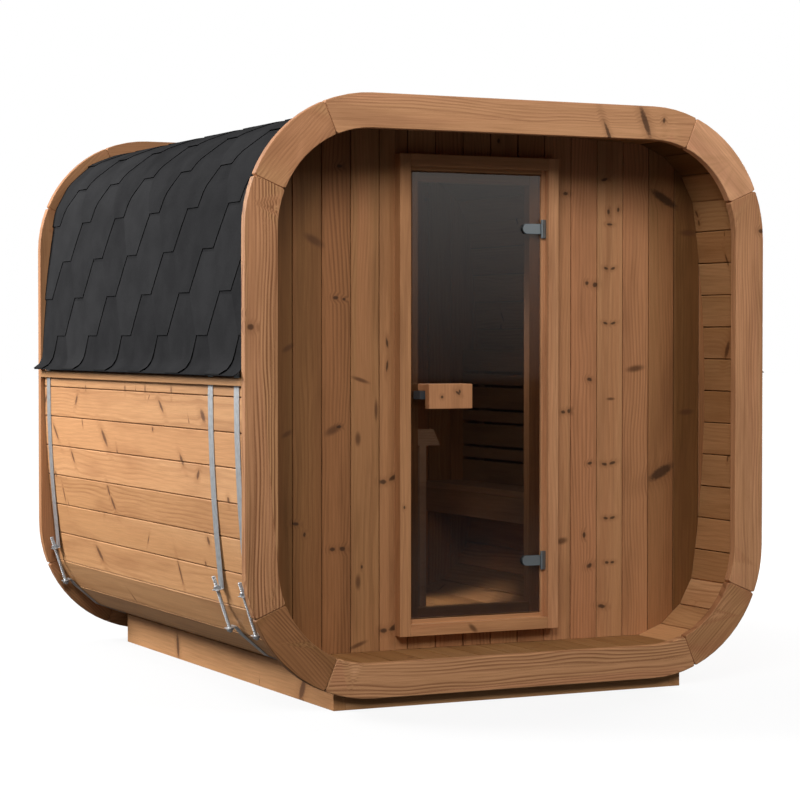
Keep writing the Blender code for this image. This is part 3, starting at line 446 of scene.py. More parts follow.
TIMBERS = {
    # Sawn ring pieces: broad even growth lines, hardly any knots
    "ring_timber": dict(
        pale="#b4845a", ruddy="#ae7853", dark="#744a2d", knot="#3a2214", spacing=0.011,
        contrast=1.0, cell=(0.6, 0.16), density=0.02, size=(0.006, 0.010), lean=0.5,
    ),
    # Staves and beams: pale and knotty, with slanting spike knots
    "stave_timber": dict(
        pale="#c7976a", ruddy="#be8a5c", dark="#8d5a34", knot="#4e2d19", spacing=0.015,
        contrast=0.6, cell=(0.42, 0.11), density=0.25, size=(0.0042, 0.016), lean=1.6,
    ),
    # Upright wall boards and the door's joinery: darker, with small round knots
    "wall_timber": dict(
        pale="#a87a51", ruddy="#a8714b", dark="#6f472b", knot="#2e1d12", spacing=0.014,
        contrast=0.75, cell=(0.5, 0.11), density=0.16, size=(0.008, 0.005), lean=0.4,
    ),
    # Bench, backrest and guard rail: planed, paler and nearly clear of knots
    "bench_timber": dict(
        pale="#ad8b6e", ruddy="#a67f63", dark="#755442", knot="#4a2c1f", spacing=0.014,
        contrast=0.5, cell=(0.6, 0.12), density=0.08, size=(0.006, 0.008), lean=0.4,
    ),
}
FINISHES = {
    "roof_shingle": ("felt_shingle", felt_shingle),
    # Hoops, bolts and nuts are bright zinc, and the hinges are darker, smoother steel
    "hoop_steel": ("hoop_zinc", zinc_steel, "#bcbec0", 0.42),
    "hinge_metal": ("hinge_steel", zinc_steel, "#7d8487", 0.34),
    "tinted_glass": ("bronze_glass", bronze_glass),
    "latch_plastic": ("moulded_plastic", moulded_plastic),
}


def material_for(slot, node=""):
    """The finish of a slot, made once, or once for a node that has listed knots."""
    if slot in TIMBERS:
        marks = (PLACED_KNOTS.get(node, ()), PLACED_SMUDGES.get(node, ()))
        name = f"spruce_{node}" if any(marks) else slot.replace("timber", "spruce")
        return bpy.data.materials.get(name) or timber(name, marks, **TIMBERS[slot])
    name, maker, *looks = FINISHES[slot]
    return bpy.data.materials.get(name) or maker(name, *looks)


# How light a board is beside its neighbours, and how strongly its growth rings show,
# by node, or by the place of the board in it. Many of these shades are painted light
# and shade, set per board to stand in for how the light falls on the cabin.
PLAIN = (1.0, None)
# Painted shade: the tongues in the joints are nearly black, so the gaps between boards read dark
TONGUE_PAINTED_SHADE = (0.16, 0.0)
BOARD_LOOKS_AND_PAINTED_LIGHT = {
    # Front ring: partly each piece's own tone, partly painted light and shade, lightest at the top
    # right and darkest at the bottom left corner
    "front_ring_left": (1.06, 1.2),
    "front_ring_corner_bottom_left": (0.64, 0.7),
    "front_ring_corner_top_left": (1.02, 0.45),
    "front_ring_top": (1.2, 0.5),
    "front_ring_corner_top_right": (1.6, 0.15),
    "front_ring_right": (1.18, 0.45),
    "front_ring_bottom": (1.3, 0.8),
    "front_ring_corner_bottom_right": (1.05, 0.6),
    # Door frame: the right jamb is lighter than the left, as painted light
    "door_jamb_left": (1.15, 0.3),
    "door_jamb_right": (1.4, 0.3),
    "door_head": (1.2, 0.3),
    "door_sill": (1.12, 0.3),
    "door_handle_outer": (1.2, 0.15),
    "heater_guard": (1.35, 0.3),
    "bench_seat": (1.2, 0.3),
    "backrest": (0.85, 0.3),
    # Painted shadow: the eaves battens are darkened as if under the roof's lip
    "eaves_batten_left": (0.72, 0.4),
    "eaves_batten_right": (0.72, 0.4),
    # Painted shade: the front wall's boards darken towards both ends, next to the rings, and the
    # middle boards of the right part are lighter, as painted light
    "front_wall": {
        -8: (0.51, 0.5), -7: (0.54, 0.5), -6: (0.63, 0.6), -5: (0.76, 0.9), -4: (0.91, 0.5),
        3: (1.12, 0.5), 4: (1.17, 0.6), 5: (1.16, 0.4), 6: (1.06, 0.7), 7: (0.82, 0.5),
        8: (0.5, 0.4),
    },
    "shell_corner_bottom_left": (0.92, None),
    # Painted shade: the floor, the ceiling, the right wall and the top right corner towards the
    # ceiling are darkened as if in the porch's shade
    "shell_floor": (0.52, 0.5),
    "shell_ceiling": (0.6, 0.4),
    "shell_corner_top_right": {0: (0.75, 0.4), 1: (0.35, 0.4), 2: (0.25, 0.4)},
    "shell_right": (0.82, 0.5),
}


def look_of(node, place=0):
    """The look of one board of a node."""
    looks = BOARD_LOOKS_AND_PAINTED_LIGHT.get(node, PLAIN)
    return looks.get(place, PLAIN) if isinstance(looks, dict) else looks


# Meshes and pieces


def placed(name, data):
    """An object in the scene."""
    piece = bpy.data.objects.new(name, data)
    bpy.context.scene.collection.objects.link(piece)
    return piece


def mesh_of(name, *shapes):
    """One mesh of finished shapes, which are freed."""
    joined = bmesh.new()
    for shape in shapes:
        spare = bpy.data.meshes.new("spare")
        shape.to_mesh(spare)
        shape.free()
        joined.from_mesh(spare)
        bpy.data.meshes.remove(spare)
    mesh = bpy.data.meshes.new(name)
    joined.to_mesh(mesh)
    joined.free()
    return mesh


def coat(mesh, slot, node=""):
    """Give a mesh the finish of a slot and no other."""
    mesh.materials.clear()
    mesh.materials.append(material_for(slot, node))


def soften(mesh, degrees):
    """Shade a mesh smooth, apart from edges sharper than this."""
    mesh.shade_smooth()
    mesh.set_sharp_from_angle(angle=math.radians(degrees))


def evaluated(piece):
    """The plain mesh that a piece's modifiers make."""
    graph = bpy.context.evaluated_depsgraph_get()
    graph.update()
    return bpy.data.meshes.new_from_object(piece.evaluated_get(graph))


def grown(start, tree, keys, values):
    """The plain mesh that a geometry node group makes from a mesh or curve."""
    seed = placed("seed", start)
    maker = seed.modifiers.new("maker", "NODES")
    maker.node_group = tree
    for label, value in values.items():
        maker[keys[label]] = value
    mesh = evaluated(seed)
    bpy.data.objects.remove(seed)
    return mesh


def solid_of(node):
    """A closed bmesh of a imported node, with its triangles merged into flat faces."""
    shape = bmesh.new()
    shape.from_mesh(NODES[node].data)
    bmesh.ops.remove_doubles(shape, verts=shape.verts[:], dist=1e-5)
    bmesh.ops.dissolve_limit(
        shape, angle_limit=math.radians(0.2), verts=shape.verts[:], edges=shape.edges[:]
    )
    return shape


def cut_off(shape, point, normal, keep_above=False):
    """Cut a solid at a plane, keep what is below or above it, and close the hole."""
    bmesh.ops.bisect_plane(
        shape,
        geom=shape.verts[:] + shape.edges[:] + shape.faces[:],
        dist=1e-6,
        plane_co=point,
        plane_no=normal,
        clear_inner=keep_above,
        clear_outer=not keep_above,
    )
    open_edges = [edge for edge in shape.edges if len(edge.link_faces) == 1]
    if open_edges:
        bmesh.ops.holes_fill(shape, edges=open_edges)


def cut_between(shape, planes, gap):
    """Split a solid into boards at planes (point, normal), in order, with a gap at each cut."""
    boards = []
    for i in range(len(planes) + 1):
        part = shape.copy()
        if i:
            point, normal = planes[i - 1]
            cut_off(part, point + normal * gap / 2, normal, keep_above=True)
        if i < len(planes):
            point, normal = planes[i]
            cut_off(part, point - normal * gap / 2, normal)
        boards.append(part)
    shape.free()
    return boards


def tongue_at(shape, point, normal, thin):
    """The loose tongue that closes the joint at a plane, thinner than the boards along thin."""
    half_width, slimmer, clearance = 0.005, 0.3, 0.998
    part = shape.copy()
    for side in (-1, 1):
        cut_off(part, point + normal * side * half_width, normal * side)
    centre = sum((v.co for v in part.verts), Vector()) / len(part.verts)
    shrink = Matrix.Scale(slimmer, 4, thin) @ Matrix.Scale(clearance, 4)
    bmesh.ops.transform(
        part,
        matrix=Matrix.Translation(centre) @ shrink @ Matrix.Translation(-centre),
        verts=part.verts[:],
    )
    return part


def groove_planes(shape):
    """Cutting planes through the V-grooves of a group of staves that runs along Y."""
    groove_reach = 0.05
    cap = min(shape.faces, key=lambda f: (round(f.calc_center_median().y, 4), -f.calc_area()))
    points = [v.co.copy() for v in cap.verts]
    if cap.normal.y > 0:
        points.reverse()
    inward = []
    for i, point in enumerate(points):
        before, after = points[i - 1], points[(i + 1) % len(points)]
        turn = (point - before).cross(after - point).y
        if turn * cap.normal.y < -1e-9:
            inward.append(point)
    planes = []
    used = set()
    for i, point in enumerate(inward):
        if i in used:
            continue
        free = [j for j in range(len(inward)) if j != i and j not in used]
        j = min(free, key=lambda k: (inward[k] - point).length)
        if (inward[j] - point).length > groove_reach:
            continue
        used |= {i, j}
        line = (inward[j] - point).normalized()
        normal = Vector((line.z, 0.0, -line.x))
        middle = (inward[j] + point) / 2
        # Anticlockwise round the shell, seen from the front
        if normal.dot(Vector((MID_HEIGHT - middle.z, 0.0, middle.x))) < 0:
            normal = -normal
        planes.append((middle, normal))
    return planes


def widest_direction(part):
    """The direction across a stave's width, from its longest edge in the XZ plane."""
    best = max(
        (e for e in part.edges if abs(e.verts[0].co.y - e.verts[1].co.y) < 1e-5),
        key=lambda e: e.calc_length(),
    )
    line = best.verts[1].co - best.verts[0].co
    return Vector((line.x, 0.0, line.z)).normalized()


def write_grain(shape, long_axis, wide_axis, board, look=PLAIN):
    """Store what the timber material reads: each vertex's place along, across and through
    its board, the board's number, its shade, which is partly painted light and shade, and
    how strongly its growth rings show."""
    layers = shape.verts.layers
    shade, figure = look
    if figure is None:
        figure = 0.25 + 0.75 * (board * 13.7 % 1.0)
    values = {"board": board, "shade": shade, "figure": figure}
    layers.float_vector.new("grain")
    for name in values:
        layers.float.new(name)
    grain = layers.float_vector.get("grain")
    marks = {layers.float.get(name): value for name, value in values.items()}
    deep_axis = long_axis.cross(wide_axis)
    centre = sum((v.co for v in shape.verts), Vector()) / len(shape.verts)
    for vert in shape.verts:
        away = vert.co - centre
        vert[grain] = (vert.co.dot(long_axis), away.dot(wide_axis), away.dot(deep_axis))
        for layer, value in marks.items():
            vert[layer] = value


def board_number(name, index):
    """A steady number between 0 and 1 for a board."""
    total = sum((i + 1) * ord(c) for i, c in enumerate(name)) + 97 * (index + 1)
    return (total * 0.6180339887) % 1.0


def finish_piece(name, boards, slot, body, node, round_over, segments=2):
    """Join finished boards into one piece with rounded arrises and hang it on its body."""
    arris_angle = 24
    for part in boards:
        bmesh.ops.recalc_face_normals(part, faces=part.faces[:])
    piece = placed(name, mesh_of(name, *boards))
    bevel = piece.modifiers.new("round_over", "BEVEL")
    bevel.width = round_over
    bevel.segments = segments
    bevel.limit_method = "ANGLE"
    bevel.angle_limit = math.radians(arris_angle)
    bevel.harden_normals = True
    soften(piece.data, arris_angle)
    sharp, piece.data = piece.data, evaluated(piece)
    piece.modifiers.clear()
    bpy.data.meshes.remove(sharp)
    piece.data.name = name
    coat(piece.data, slot, node)
    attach(piece, body)
    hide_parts(node)
    return piece


def dress_block(node, slot, body, long_axis, wide_axis, round_over):
    """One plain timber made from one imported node."""
    shape = solid_of(node)
    write_grain(shape, long_axis, wide_axis, board_number(node, 0), look_of(node))
    return finish_piece(f"{node}_timber", [shape], slot, body, node, round_over)


def sized(name, description, default, **unit):
    """A number that a user might change."""
    return bpy.props.FloatProperty(name=name, description=description, default=default, **unit)


length_of = partial(sized, unit="LENGTH")


class SaunaTimberSettings(bpy.types.PropertyGroup):
    """Sizes of the joinery that a user might change."""

    board_gap: length_of("Board gap", "Gap between neighbouring boards", 0.0026)
    board_edge: length_of("Board edge", "Chamfer of a board's edge", 0.0018)
    wall_pitch: length_of("Wall board pitch", "Width of a wall board", 0.1115)
    arris: length_of("Arris", "Rounding of a planed edge", 0.0016)


class SAUNA_OT_rings(bpy.types.Operator):
    """Dress the two end rings, with the grain along each sawn piece"""

    bl_idname = "sauna.rings"
    bl_label = "End rings"

    def execute(self, context):
        round_over = context.scene.sauna_timber.arris * 2.4
        rising, falling = (Vector((x, 0, 1)).normalized() for x in (1, -1))
        turned = {
            "top": X_AXIS, "bottom": X_AXIS, "left": Z_AXIS, "right": Z_AXIS,
            "corner_top_right": falling, "corner_bottom_left": falling,
            "corner_top_left": rising, "corner_bottom_right": rising,
        }
        for ring in ("front_ring", "rear_ring"):
            for place, along in turned.items():
                wide = Y_AXIS.cross(along)
                dress_block(f"{ring}_{place}", "ring_timber", CABIN, along, wide, round_over)
        return {"FINISHED"}


class SAUNA_OT_shell(bpy.types.Operator):
    """Cut the shell into its staves, from ring to ring"""

    bl_idname = "sauna.shell"
    bl_label = "Stave shell"

    def execute(self, context):
        settings = context.scene.sauna_timber
        for node in sorted(n for n in NODES if n.startswith("shell_")):
            shape = solid_of(node)
            planes = groove_planes(shape)
            angles = [math.atan2(p.z - MID_HEIGHT, p.x) % math.tau for p, _ in planes]
            start = min(angles)
            if max(angles) - start >= math.pi:
                start = min(angle for angle in angles if angle > math.pi)
            order = sorted(range(len(planes)), key=lambda i: (angles[i] - start) % math.tau)
            planes = [planes[i] for i in order]
            tongues = [tongue_at(shape, p, n, n.cross(Y_AXIS)) for p, n in planes]
            boards = cut_between(shape, planes, settings.board_gap)
            for i, part in enumerate(boards):
                across = widest_direction(part)
                write_grain(part, Y_AXIS, across, board_number(node, i), look_of(node, i))
            for part in tongues:
                write_grain(part, Y_AXIS, Z_AXIS, 0.5, TONGUE_PAINTED_SHADE)
            finish_piece(
                f"{node}_staves", boards + tongues, "stave_timber", CABIN, node,
                settings.board_edge, 1,
            )
        return {"FINISHED"}


class SAUNA_OT_walls(bpy.types.Operator):
    """Cut the end walls into their upright boards"""

    bl_idname = "sauna.walls"
    bl_label = "Boarded walls"

    def execute(self, context):
        settings = context.scene.sauna_timber
        pitch, margin = settings.wall_pitch, 0.003
        for node in sorted(n for n in NODES if n.startswith(("front_wall", "rear_wall"))):
            low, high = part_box(node)
            first = math.ceil((low.x + margin) / pitch - 0.5)
            last = math.floor((high.x - margin) / pitch - 0.5)
            planes = [(X_AXIS * pitch * (k + 0.5), X_AXIS) for k in range(first, last + 1)]
            shape = solid_of(node)
            tongues = [tongue_at(shape, p, n, Y_AXIS) for p, n in planes]
            boards = cut_between(shape, planes, settings.board_gap)
            for place, part in enumerate(boards, first):
                number, look = board_number(node[:5], place + 40), look_of(node[:10], place)
                write_grain(part, Z_AXIS, X_AXIS, number, look)
            for part in tongues:
                write_grain(part, Z_AXIS, X_AXIS, 0.5, TONGUE_PAINTED_SHADE)
            finish_piece(
                f"{node}_boards", boards + tongues, "wall_timber", CABIN, node,
                settings.board_edge, 1,
            )
        return {"FINISHED"}


class SAUNA_OT_doorway(bpy.types.Operator):
    """Dress the door frame's jambs, head and sill"""

    bl_idname = "sauna.doorway"
    bl_label = "Door frame"

    def execute(self, context):
        arris = context.scene.sauna_timber.arris
        for node in ("door_jamb_left", "door_jamb_right"):
            dress_block(node, "wall_timber", CABIN, Z_AXIS, X_AXIS, arris)
        for node in ("door_head", "door_sill"):
            dress_block(node, "wall_timber", CABIN, X_AXIS, Z_AXIS, arris)
        return {"FINISHED"}


class SAUNA_OT_door(bpy.types.Operator):
    """Dress the glass leaf, its handles, latch and hinges"""

    bl_idname = "sauna.door"
    bl_label = "Glass door"

    def execute(self, context):
        for node in ("door_handle_outer", "door_handle_inner"):
            dress_block(node, "wall_timber", DOOR, Z_AXIS, X_AXIS, 0.0025)
        for node in NODES:
            if node.startswith("hinge_"):
                coat(NODES[node].data, "hinge_metal")
        coat(NODES["door_glass"].data, "tinted_glass")
        coat(NODES["door_latch"].data, "latch_plastic")
        return {"FINISHED"}


def bolt_group():
    """A threaded rod along Z with a hexagon nut and a washer near each end."""
    tree, keys, add, given = new_group(
        "tension_bolt",
        Float=["Length", "Radius", "Pitch", "Nut Radius", "Nut Height", "Upper Nut", "Lower Nut"],
    )
    length, radius, pitch = given["Length"], given["Radius"], given["Pitch"]
    wide, thick = given["Nut Radius"], given["Nut Height"]
    cylinder, move = "GeometryNodeMeshCylinder", "GeometryNodeTransform"
    core = {"Vertices": 16, "Radius": add(TIMES, radius, 0.9), "Depth": length}
    half = add(COMBINE, {"Z": add(TIMES, length, 0.5)})
    rod = add(move, {"Geometry": add(cylinder, core), "Translation": half})
    reach = add(TIMES, radius, 0.88)
    spiral = add(
        "GeometryNodeCurveSpiral",
        {
            "Resolution": 14, "Rotations": add(OVER, length, pitch), "Height": length,
            "Start Radius": reach, "End Radius": reach,
        },
    )
    ridge = add(
        "GeometryNodeCurvePrimitiveCircle", {"Resolution": 4, "Radius": add(TIMES, pitch, 0.36)}
    )
    thread = add(
        "GeometryNodeCurveToMesh", {"Curve": spiral, "Profile Curve": ridge, "Fill Caps": True}
    )
    nut = add(cylinder, {"Vertices": 6, "Radius": wide, "Depth": thick})
    flat = {"Vertices": 24, "Radius": add(TIMES, wide, 1.12), "Depth": add(TIMES, thick, 0.3)}
    washer = add(cylinder, flat)
    parts = [rod, thread]
    for label, side in (("Upper Nut", 0.5), ("Lower Nut", -0.5)):
        beside = add(TIMES_PLUS, thick, side, given[label])
        for part, height in ((nut, given[label]), (washer, beside)):
            spot = add(COMBINE, {"Z": height})
            parts.append(add(move, {"Geometry": part, "Translation": spot}))
    joined = add("GeometryNodeJoinGeometry")
    for part in parts:
        tree.links.new(part.outputs[0], joined.inputs[0])
    end_group(add, joined, given)
    return tree, keys


class SaunaHoopSettings(bpy.types.PropertyGroup):
    """Sizes of the bolts that draw the hoops tight."""

    thread_pitch: length_of(
        "Thread pitch", "Spacing of the thread, drawn coarser than the real 1.75 mm", 0.0028
    )
    nut_height: length_of("Nut height", "Height of a hexagon nut", 0.010)
    nut_radius: length_of("Nut radius", "Half width of a nut over its corners", 0.0125)
    bolt_radius: length_of("Bolt radius", "Half thickness of a bolt", 0.0065)
    bolt_tail: length_of("Bolt tail", "Thread that stands past the upper nut", 0.036)


class SAUNA_OT_hoops(bpy.types.Operator):
    """Make the steel hoops with rolled edges, and their threaded bolts"""

    bl_idname = "sauna.hoops"
    bl_label = "Steel hoops"

    def execute(self, context):
        settings = context.scene.sauna_hoops
        group = bolt_group()
        for node in ("hoop_front", "hoop_middle", "hoop_rear"):
            low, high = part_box(node)
            shape = solid_of(node)
            outlines = [
                [v.co.copy() for v in face.verts]
                for face in shape.faces
                if face.normal.y < -0.9 and face.calc_center_median().y < low.y + 1e-4
            ]
            middle, bolt_reach = (low.y + high.y) / 2, 0.0115
            rod = [v.co.copy() for v in shape.verts if abs(v.co.y - middle) < bolt_reach]
            shape.free()
            strip = bmesh.new()
            for outline in outlines:
                near, far = (
                    [strip.verts.new((p.x, y, p.z)) for p in outline] for y in (low.y, high.y)
                )
                strip.faces.new(near)
                strip.faces.new(far[::-1])
                for i in range(len(near)):
                    j = (i + 1) % len(near)
                    strip.faces.new((near[j], near[i], far[i], far[j]))
            write_grain(strip, Z_AXIS, Y_AXIS, 0.0)
            finish_piece(f"{node}_strip", [strip], "hoop_steel", CABIN, node, 0.0007)
            self.add_bolts(node, rod, group, settings)
        return {"FINISHED"}

    def add_bolts(self, node, rod, group, settings):
        """Both bolts of a hoop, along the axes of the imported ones."""
        foot = 0.006
        joined = bmesh.new()
        for sign in (1, -1):
            start, end = self.axis_of(np.array([p for p in rod if p.x * sign > 0]))
            length = (end - start).length
            values = {
                "Length": length,
                "Radius": settings.bolt_radius,
                "Pitch": settings.thread_pitch,
                "Nut Radius": settings.nut_radius,
                "Nut Height": settings.nut_height,
                "Upper Nut": settings.bolt_tail + settings.nut_height / 2,
                "Lower Nut": length - foot - settings.nut_height / 2,
                "Material": material_for("hoop_steel"),
            }
            mesh = grown(bpy.data.meshes.new("seed"), *group, values)
            turn = (end - start).to_track_quat("Z", "Y").to_matrix().to_4x4()
            mesh.transform(Matrix.Translation(start) @ turn)
            joined.from_mesh(mesh)
            bpy.data.meshes.remove(mesh)
        mesh = mesh_of(f"{node}_bolts", joined)
        coat(mesh, "hoop_steel")
        soften(mesh, 40)
        piece = placed(mesh.name, mesh)
        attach(piece, CABIN)

    def axis_of(self, points):
        """Upper and lower end of a bolt, from the middles of its end faces."""
        centre = points.mean(axis=0)
        line = np.linalg.svd(points - centre)[2][0]
        line = line if line[2] < 0 else -line
        run = (points - centre) @ line
        ends = [points[run < run.min() + 0.002], points[run > run.max() - 0.002]]
        return [Vector(end.mean(axis=0)) for end in ends]


class SaunaRoofSettings(bpy.types.PropertyGroup):
    """Sizes of the hexagonal felt shingles."""

    exposure: length_of("Exposure", "Height of a course", 0.151)
    period: length_of("Period", "Spacing of the tabs", 0.392)
    flat: length_of("Flat", "Straight lower edge of a tab", 0.107)
    thickness: length_of("Thickness", "Thickness of the felt", 0.0024)
    cap_width: length_of("Cap width", "Width of a ridge cap", 0.24)
    first_line: length_of("First line", "Height of the first full row of lower edges", 1.273)
    first_tab: length_of("First tab", "Middle of a tab in that row, from the front face", 0.4235)


def roof_profile():
    """Middle line of the right half of the roofing in XZ, from the eave's lip to the ridge."""
    points = []
    for node in ("roofing_right", "roofing_top"):
        shape = solid_of(node)
        front = min(v.co.y for v in shape.verts)
        ends = [v.co for v in shape.verts if v.co.y < front + 1e-4]
        for i, point in enumerate(ends):
            others = (q for j, q in enumerate(ends) if j != i)
            middle = (point + min(others, key=lambda q: (q - point).length)) / 2
            if middle.x >= -1e-4:
                points.append((round(middle.x, 5), round(middle.z, 5)))
        shape.free()
    points = sorted(set(points), key=lambda p: math.atan2(p[1] - MID_HEIGHT, p[0]))
    clean = [points[0]]
    for point in points[1:]:
        if math.dist(point, clean[-1]) > 0.004:
            clean.append(point)
    clean[-1] = (0.0, clean[-1][1])
    return clean


def runs_along(line):
    """How far along a line each of its points is."""
    return np.concatenate([[0], np.cumsum(np.linalg.norm(np.diff(line, axis=0), axis=1))])


def smoothed(points, step, blur):
    """An even, softened line through points, with its ends kept."""
    line = np.array(points)
    run = runs_along(line)
    places = np.arange(0, run[-1], step)
    even = np.stack([np.interp(places, run, line[:, k]) for k in (0, 1)], axis=1)
    reach = int(3 * blur / step)
    weights = np.exp(-0.5 * (np.arange(-reach, reach + 1) * step / blur) ** 2)
    weights /= weights.sum()
    padded = np.concatenate(
        [2 * even[0] - even[reach:0:-1], even, 2 * even[-1] - even[-2 : -reach - 2 : -1]]
    )
    return np.stack([np.convolve(padded[:, k], weights, "valid") for k in (0, 1)], axis=1)


def tab_mesh(settings):
    """One flat shingle: X along the eave, Y up the slope, tilted to lap the course below."""
    half_flat, half_period = settings.flat / 2, settings.period / 2
    half_wide = half_period - half_flat
    slit, steps = 0.0004, 6
    shape = bmesh.new()
    rows = []
    for i in range(2 * steps + 1):
        climb = i / steps
        if i < steps:
            half = half_flat + (half_wide - half_flat) * climb
            places = (-half, 0.0, half)
        else:
            places = (slit - half_period, -half_wide, 0.0, half_wide, half_period - slit)
        lift = settings.thickness * (2.35 - 1.05 * climb)
        rows.append([shape.verts.new((x, settings.exposure * climb, lift)) for x in places])
    for low, high in zip(rows, rows[1:]):
        if len(low) < len(high):
            high = high[1:-1]
        for k in range(len(low) - 1):
            shape.faces.new((low[k], low[k + 1], high[k + 1], high[k]))
    shape.normal_update()
    bmesh.ops.solidify(shape, geom=shape.faces[:], thickness=settings.thickness)
    bmesh.ops.recalc_face_normals(shape, faces=shape.faces[:])
    return mesh_of("tab", shape)


def cap_mesh(settings):
    """One lapped felt cap, bent over the ridge, with its edges marked as cut."""
    half, length, bend = settings.cap_width / 2, settings.exposure * 1.4, 0.004
    shape = bmesh.new()
    ends = []
    for y, lift in ((0.0, 4.0), (length, 2.5)):
        loop = [(x, lift) for x in (-half, 0.0, half)] + [(x, lift - 1) for x in (half, 0.0, -half)]
        ends.append([
            shape.verts.new((x, y, height * settings.thickness - (bend if x else 0.0)))
            for x, height in loop
        ])
    near, far = ends
    for i in range(len(near)):
        j = (i + 1) % len(near)
        shape.faces.new((near[i], near[j], far[j], far[i]))
    for row in ends:
        for i in (0, 1):
            shape.faces.new((row[i], row[i + 1], row[4 - i], row[5 - i]))
    bmesh.ops.recalc_face_normals(shape, faces=shape.faces[:])
    rim = shape.faces.layers.float.new("cut")
    for face in shape.faces:
        face[rim] = float(abs(face.normal.z) < 0.5)
    return mesh_of("cap", shape)


def cap_group():
    """A row of caps along Y."""
    tree, keys, add, given = new_group(
        "ridge_caps", Object=["Cap"], Int=["Count"], Float=["Exposure"], Vector=["Start"]
    )
    row = {
        "Count": given["Count"],
        "Start Location": given["Start"],
        "Offset": add(COMBINE, {"Y": given["Exposure"]}),
    }
    model = add("GeometryNodeObjectInfo", {"Object": given["Cap"]}).outputs["Geometry"]
    copies = {"Points": add("GeometryNodeMeshLine", row), "Instance": model}
    end_group(add, add("GeometryNodeInstanceOnPoints", copies), given)
    return tree, keys


def shingle_group():
    """Rows of one tab, laid flat and then wrapped over the roof's profile curve."""
    tree, keys, add, given = new_group(
        "shingle_courses",
        Object=["Tab"],
        Int=["Courses", "Tabs"],
        Float=["Period", "Exposure", "First Y", "First Run", "Lowest Row Stretch"],
    )
    tabs, exposure, first = given["Tabs"], given["Exposure"], given["First Run"]
    total = add(TIMES, given["Courses"], tabs)
    dots = add("GeometryNodeMeshLine", {"Count": total, "Offset": (0.0, 0.0, 0.0)})
    index = add("GeometryNodeInputIndex")
    course = add("ShaderNodeMath FLOOR", add(OVER, add(PLUS, index, 0.5), tabs))
    tab = add(MINUS, index, add(TIMES, course, tabs))
    half = add(TIMES, add("ShaderNodeMath MODULO", course, 2.0), -0.5)
    along = add(PLUS, add(TIMES, add(PLUS, tab, half), given["Period"]), given["First Y"])
    place = add(COMBINE, along, add(TIMES_PLUS, course, exposure, first))
    model = add("GeometryNodeObjectInfo", {"Object": given["Tab"]}).outputs["Geometry"]
    laid = add("GeometryNodeSetPosition", {"Geometry": dots, "Position": place})
    copies = add("GeometryNodeInstanceOnPoints", {"Points": laid, "Instance": model})
    chance = add("FunctionNodeRandomValue", {"Seed": 7}, data_type="FLOAT")
    marked = add(
        "GeometryNodeStoreNamedAttribute",
        {"Geometry": copies, "Name": "tab", "Value": chance.outputs[1]},
        data_type="FLOAT",
        domain="INSTANCE",
    )
    real = add("GeometryNodeRealizeInstances", marked)
    flat = add(SPLIT, add("GeometryNodeInputPosition")).outputs
    second = add(PLUS, first, exposure)
    below = add(MINUS, flat["Y"], second)
    stretched = add(TIMES_PLUS, below, given["Lowest Row Stretch"], second)
    run = add("ShaderNodeMath MINIMUM", stretched, flat["Y"])
    sample = add(
        "GeometryNodeSampleCurve",
        {"Curves": given["Geometry"], "Length": run},
        mode="LENGTH",
        use_all_curves=True,
    ).outputs
    outward = add("ShaderNodeVectorMath CROSS_PRODUCT", (0.0, 1.0, 0.0), sample["Tangent"])
    lifted = add("ShaderNodeVectorMath SCALE", {"Vector": outward, "Scale": flat["Z"]})
    on_curve = add(MOVE, sample["Position"], lifted)
    spot = add(MOVE, on_curve, add(COMBINE, {"Y": flat["X"]}))
    end_group(add, add("GeometryNodeSetPosition", {"Geometry": real, "Position": spot}), given)
    return tree, keys


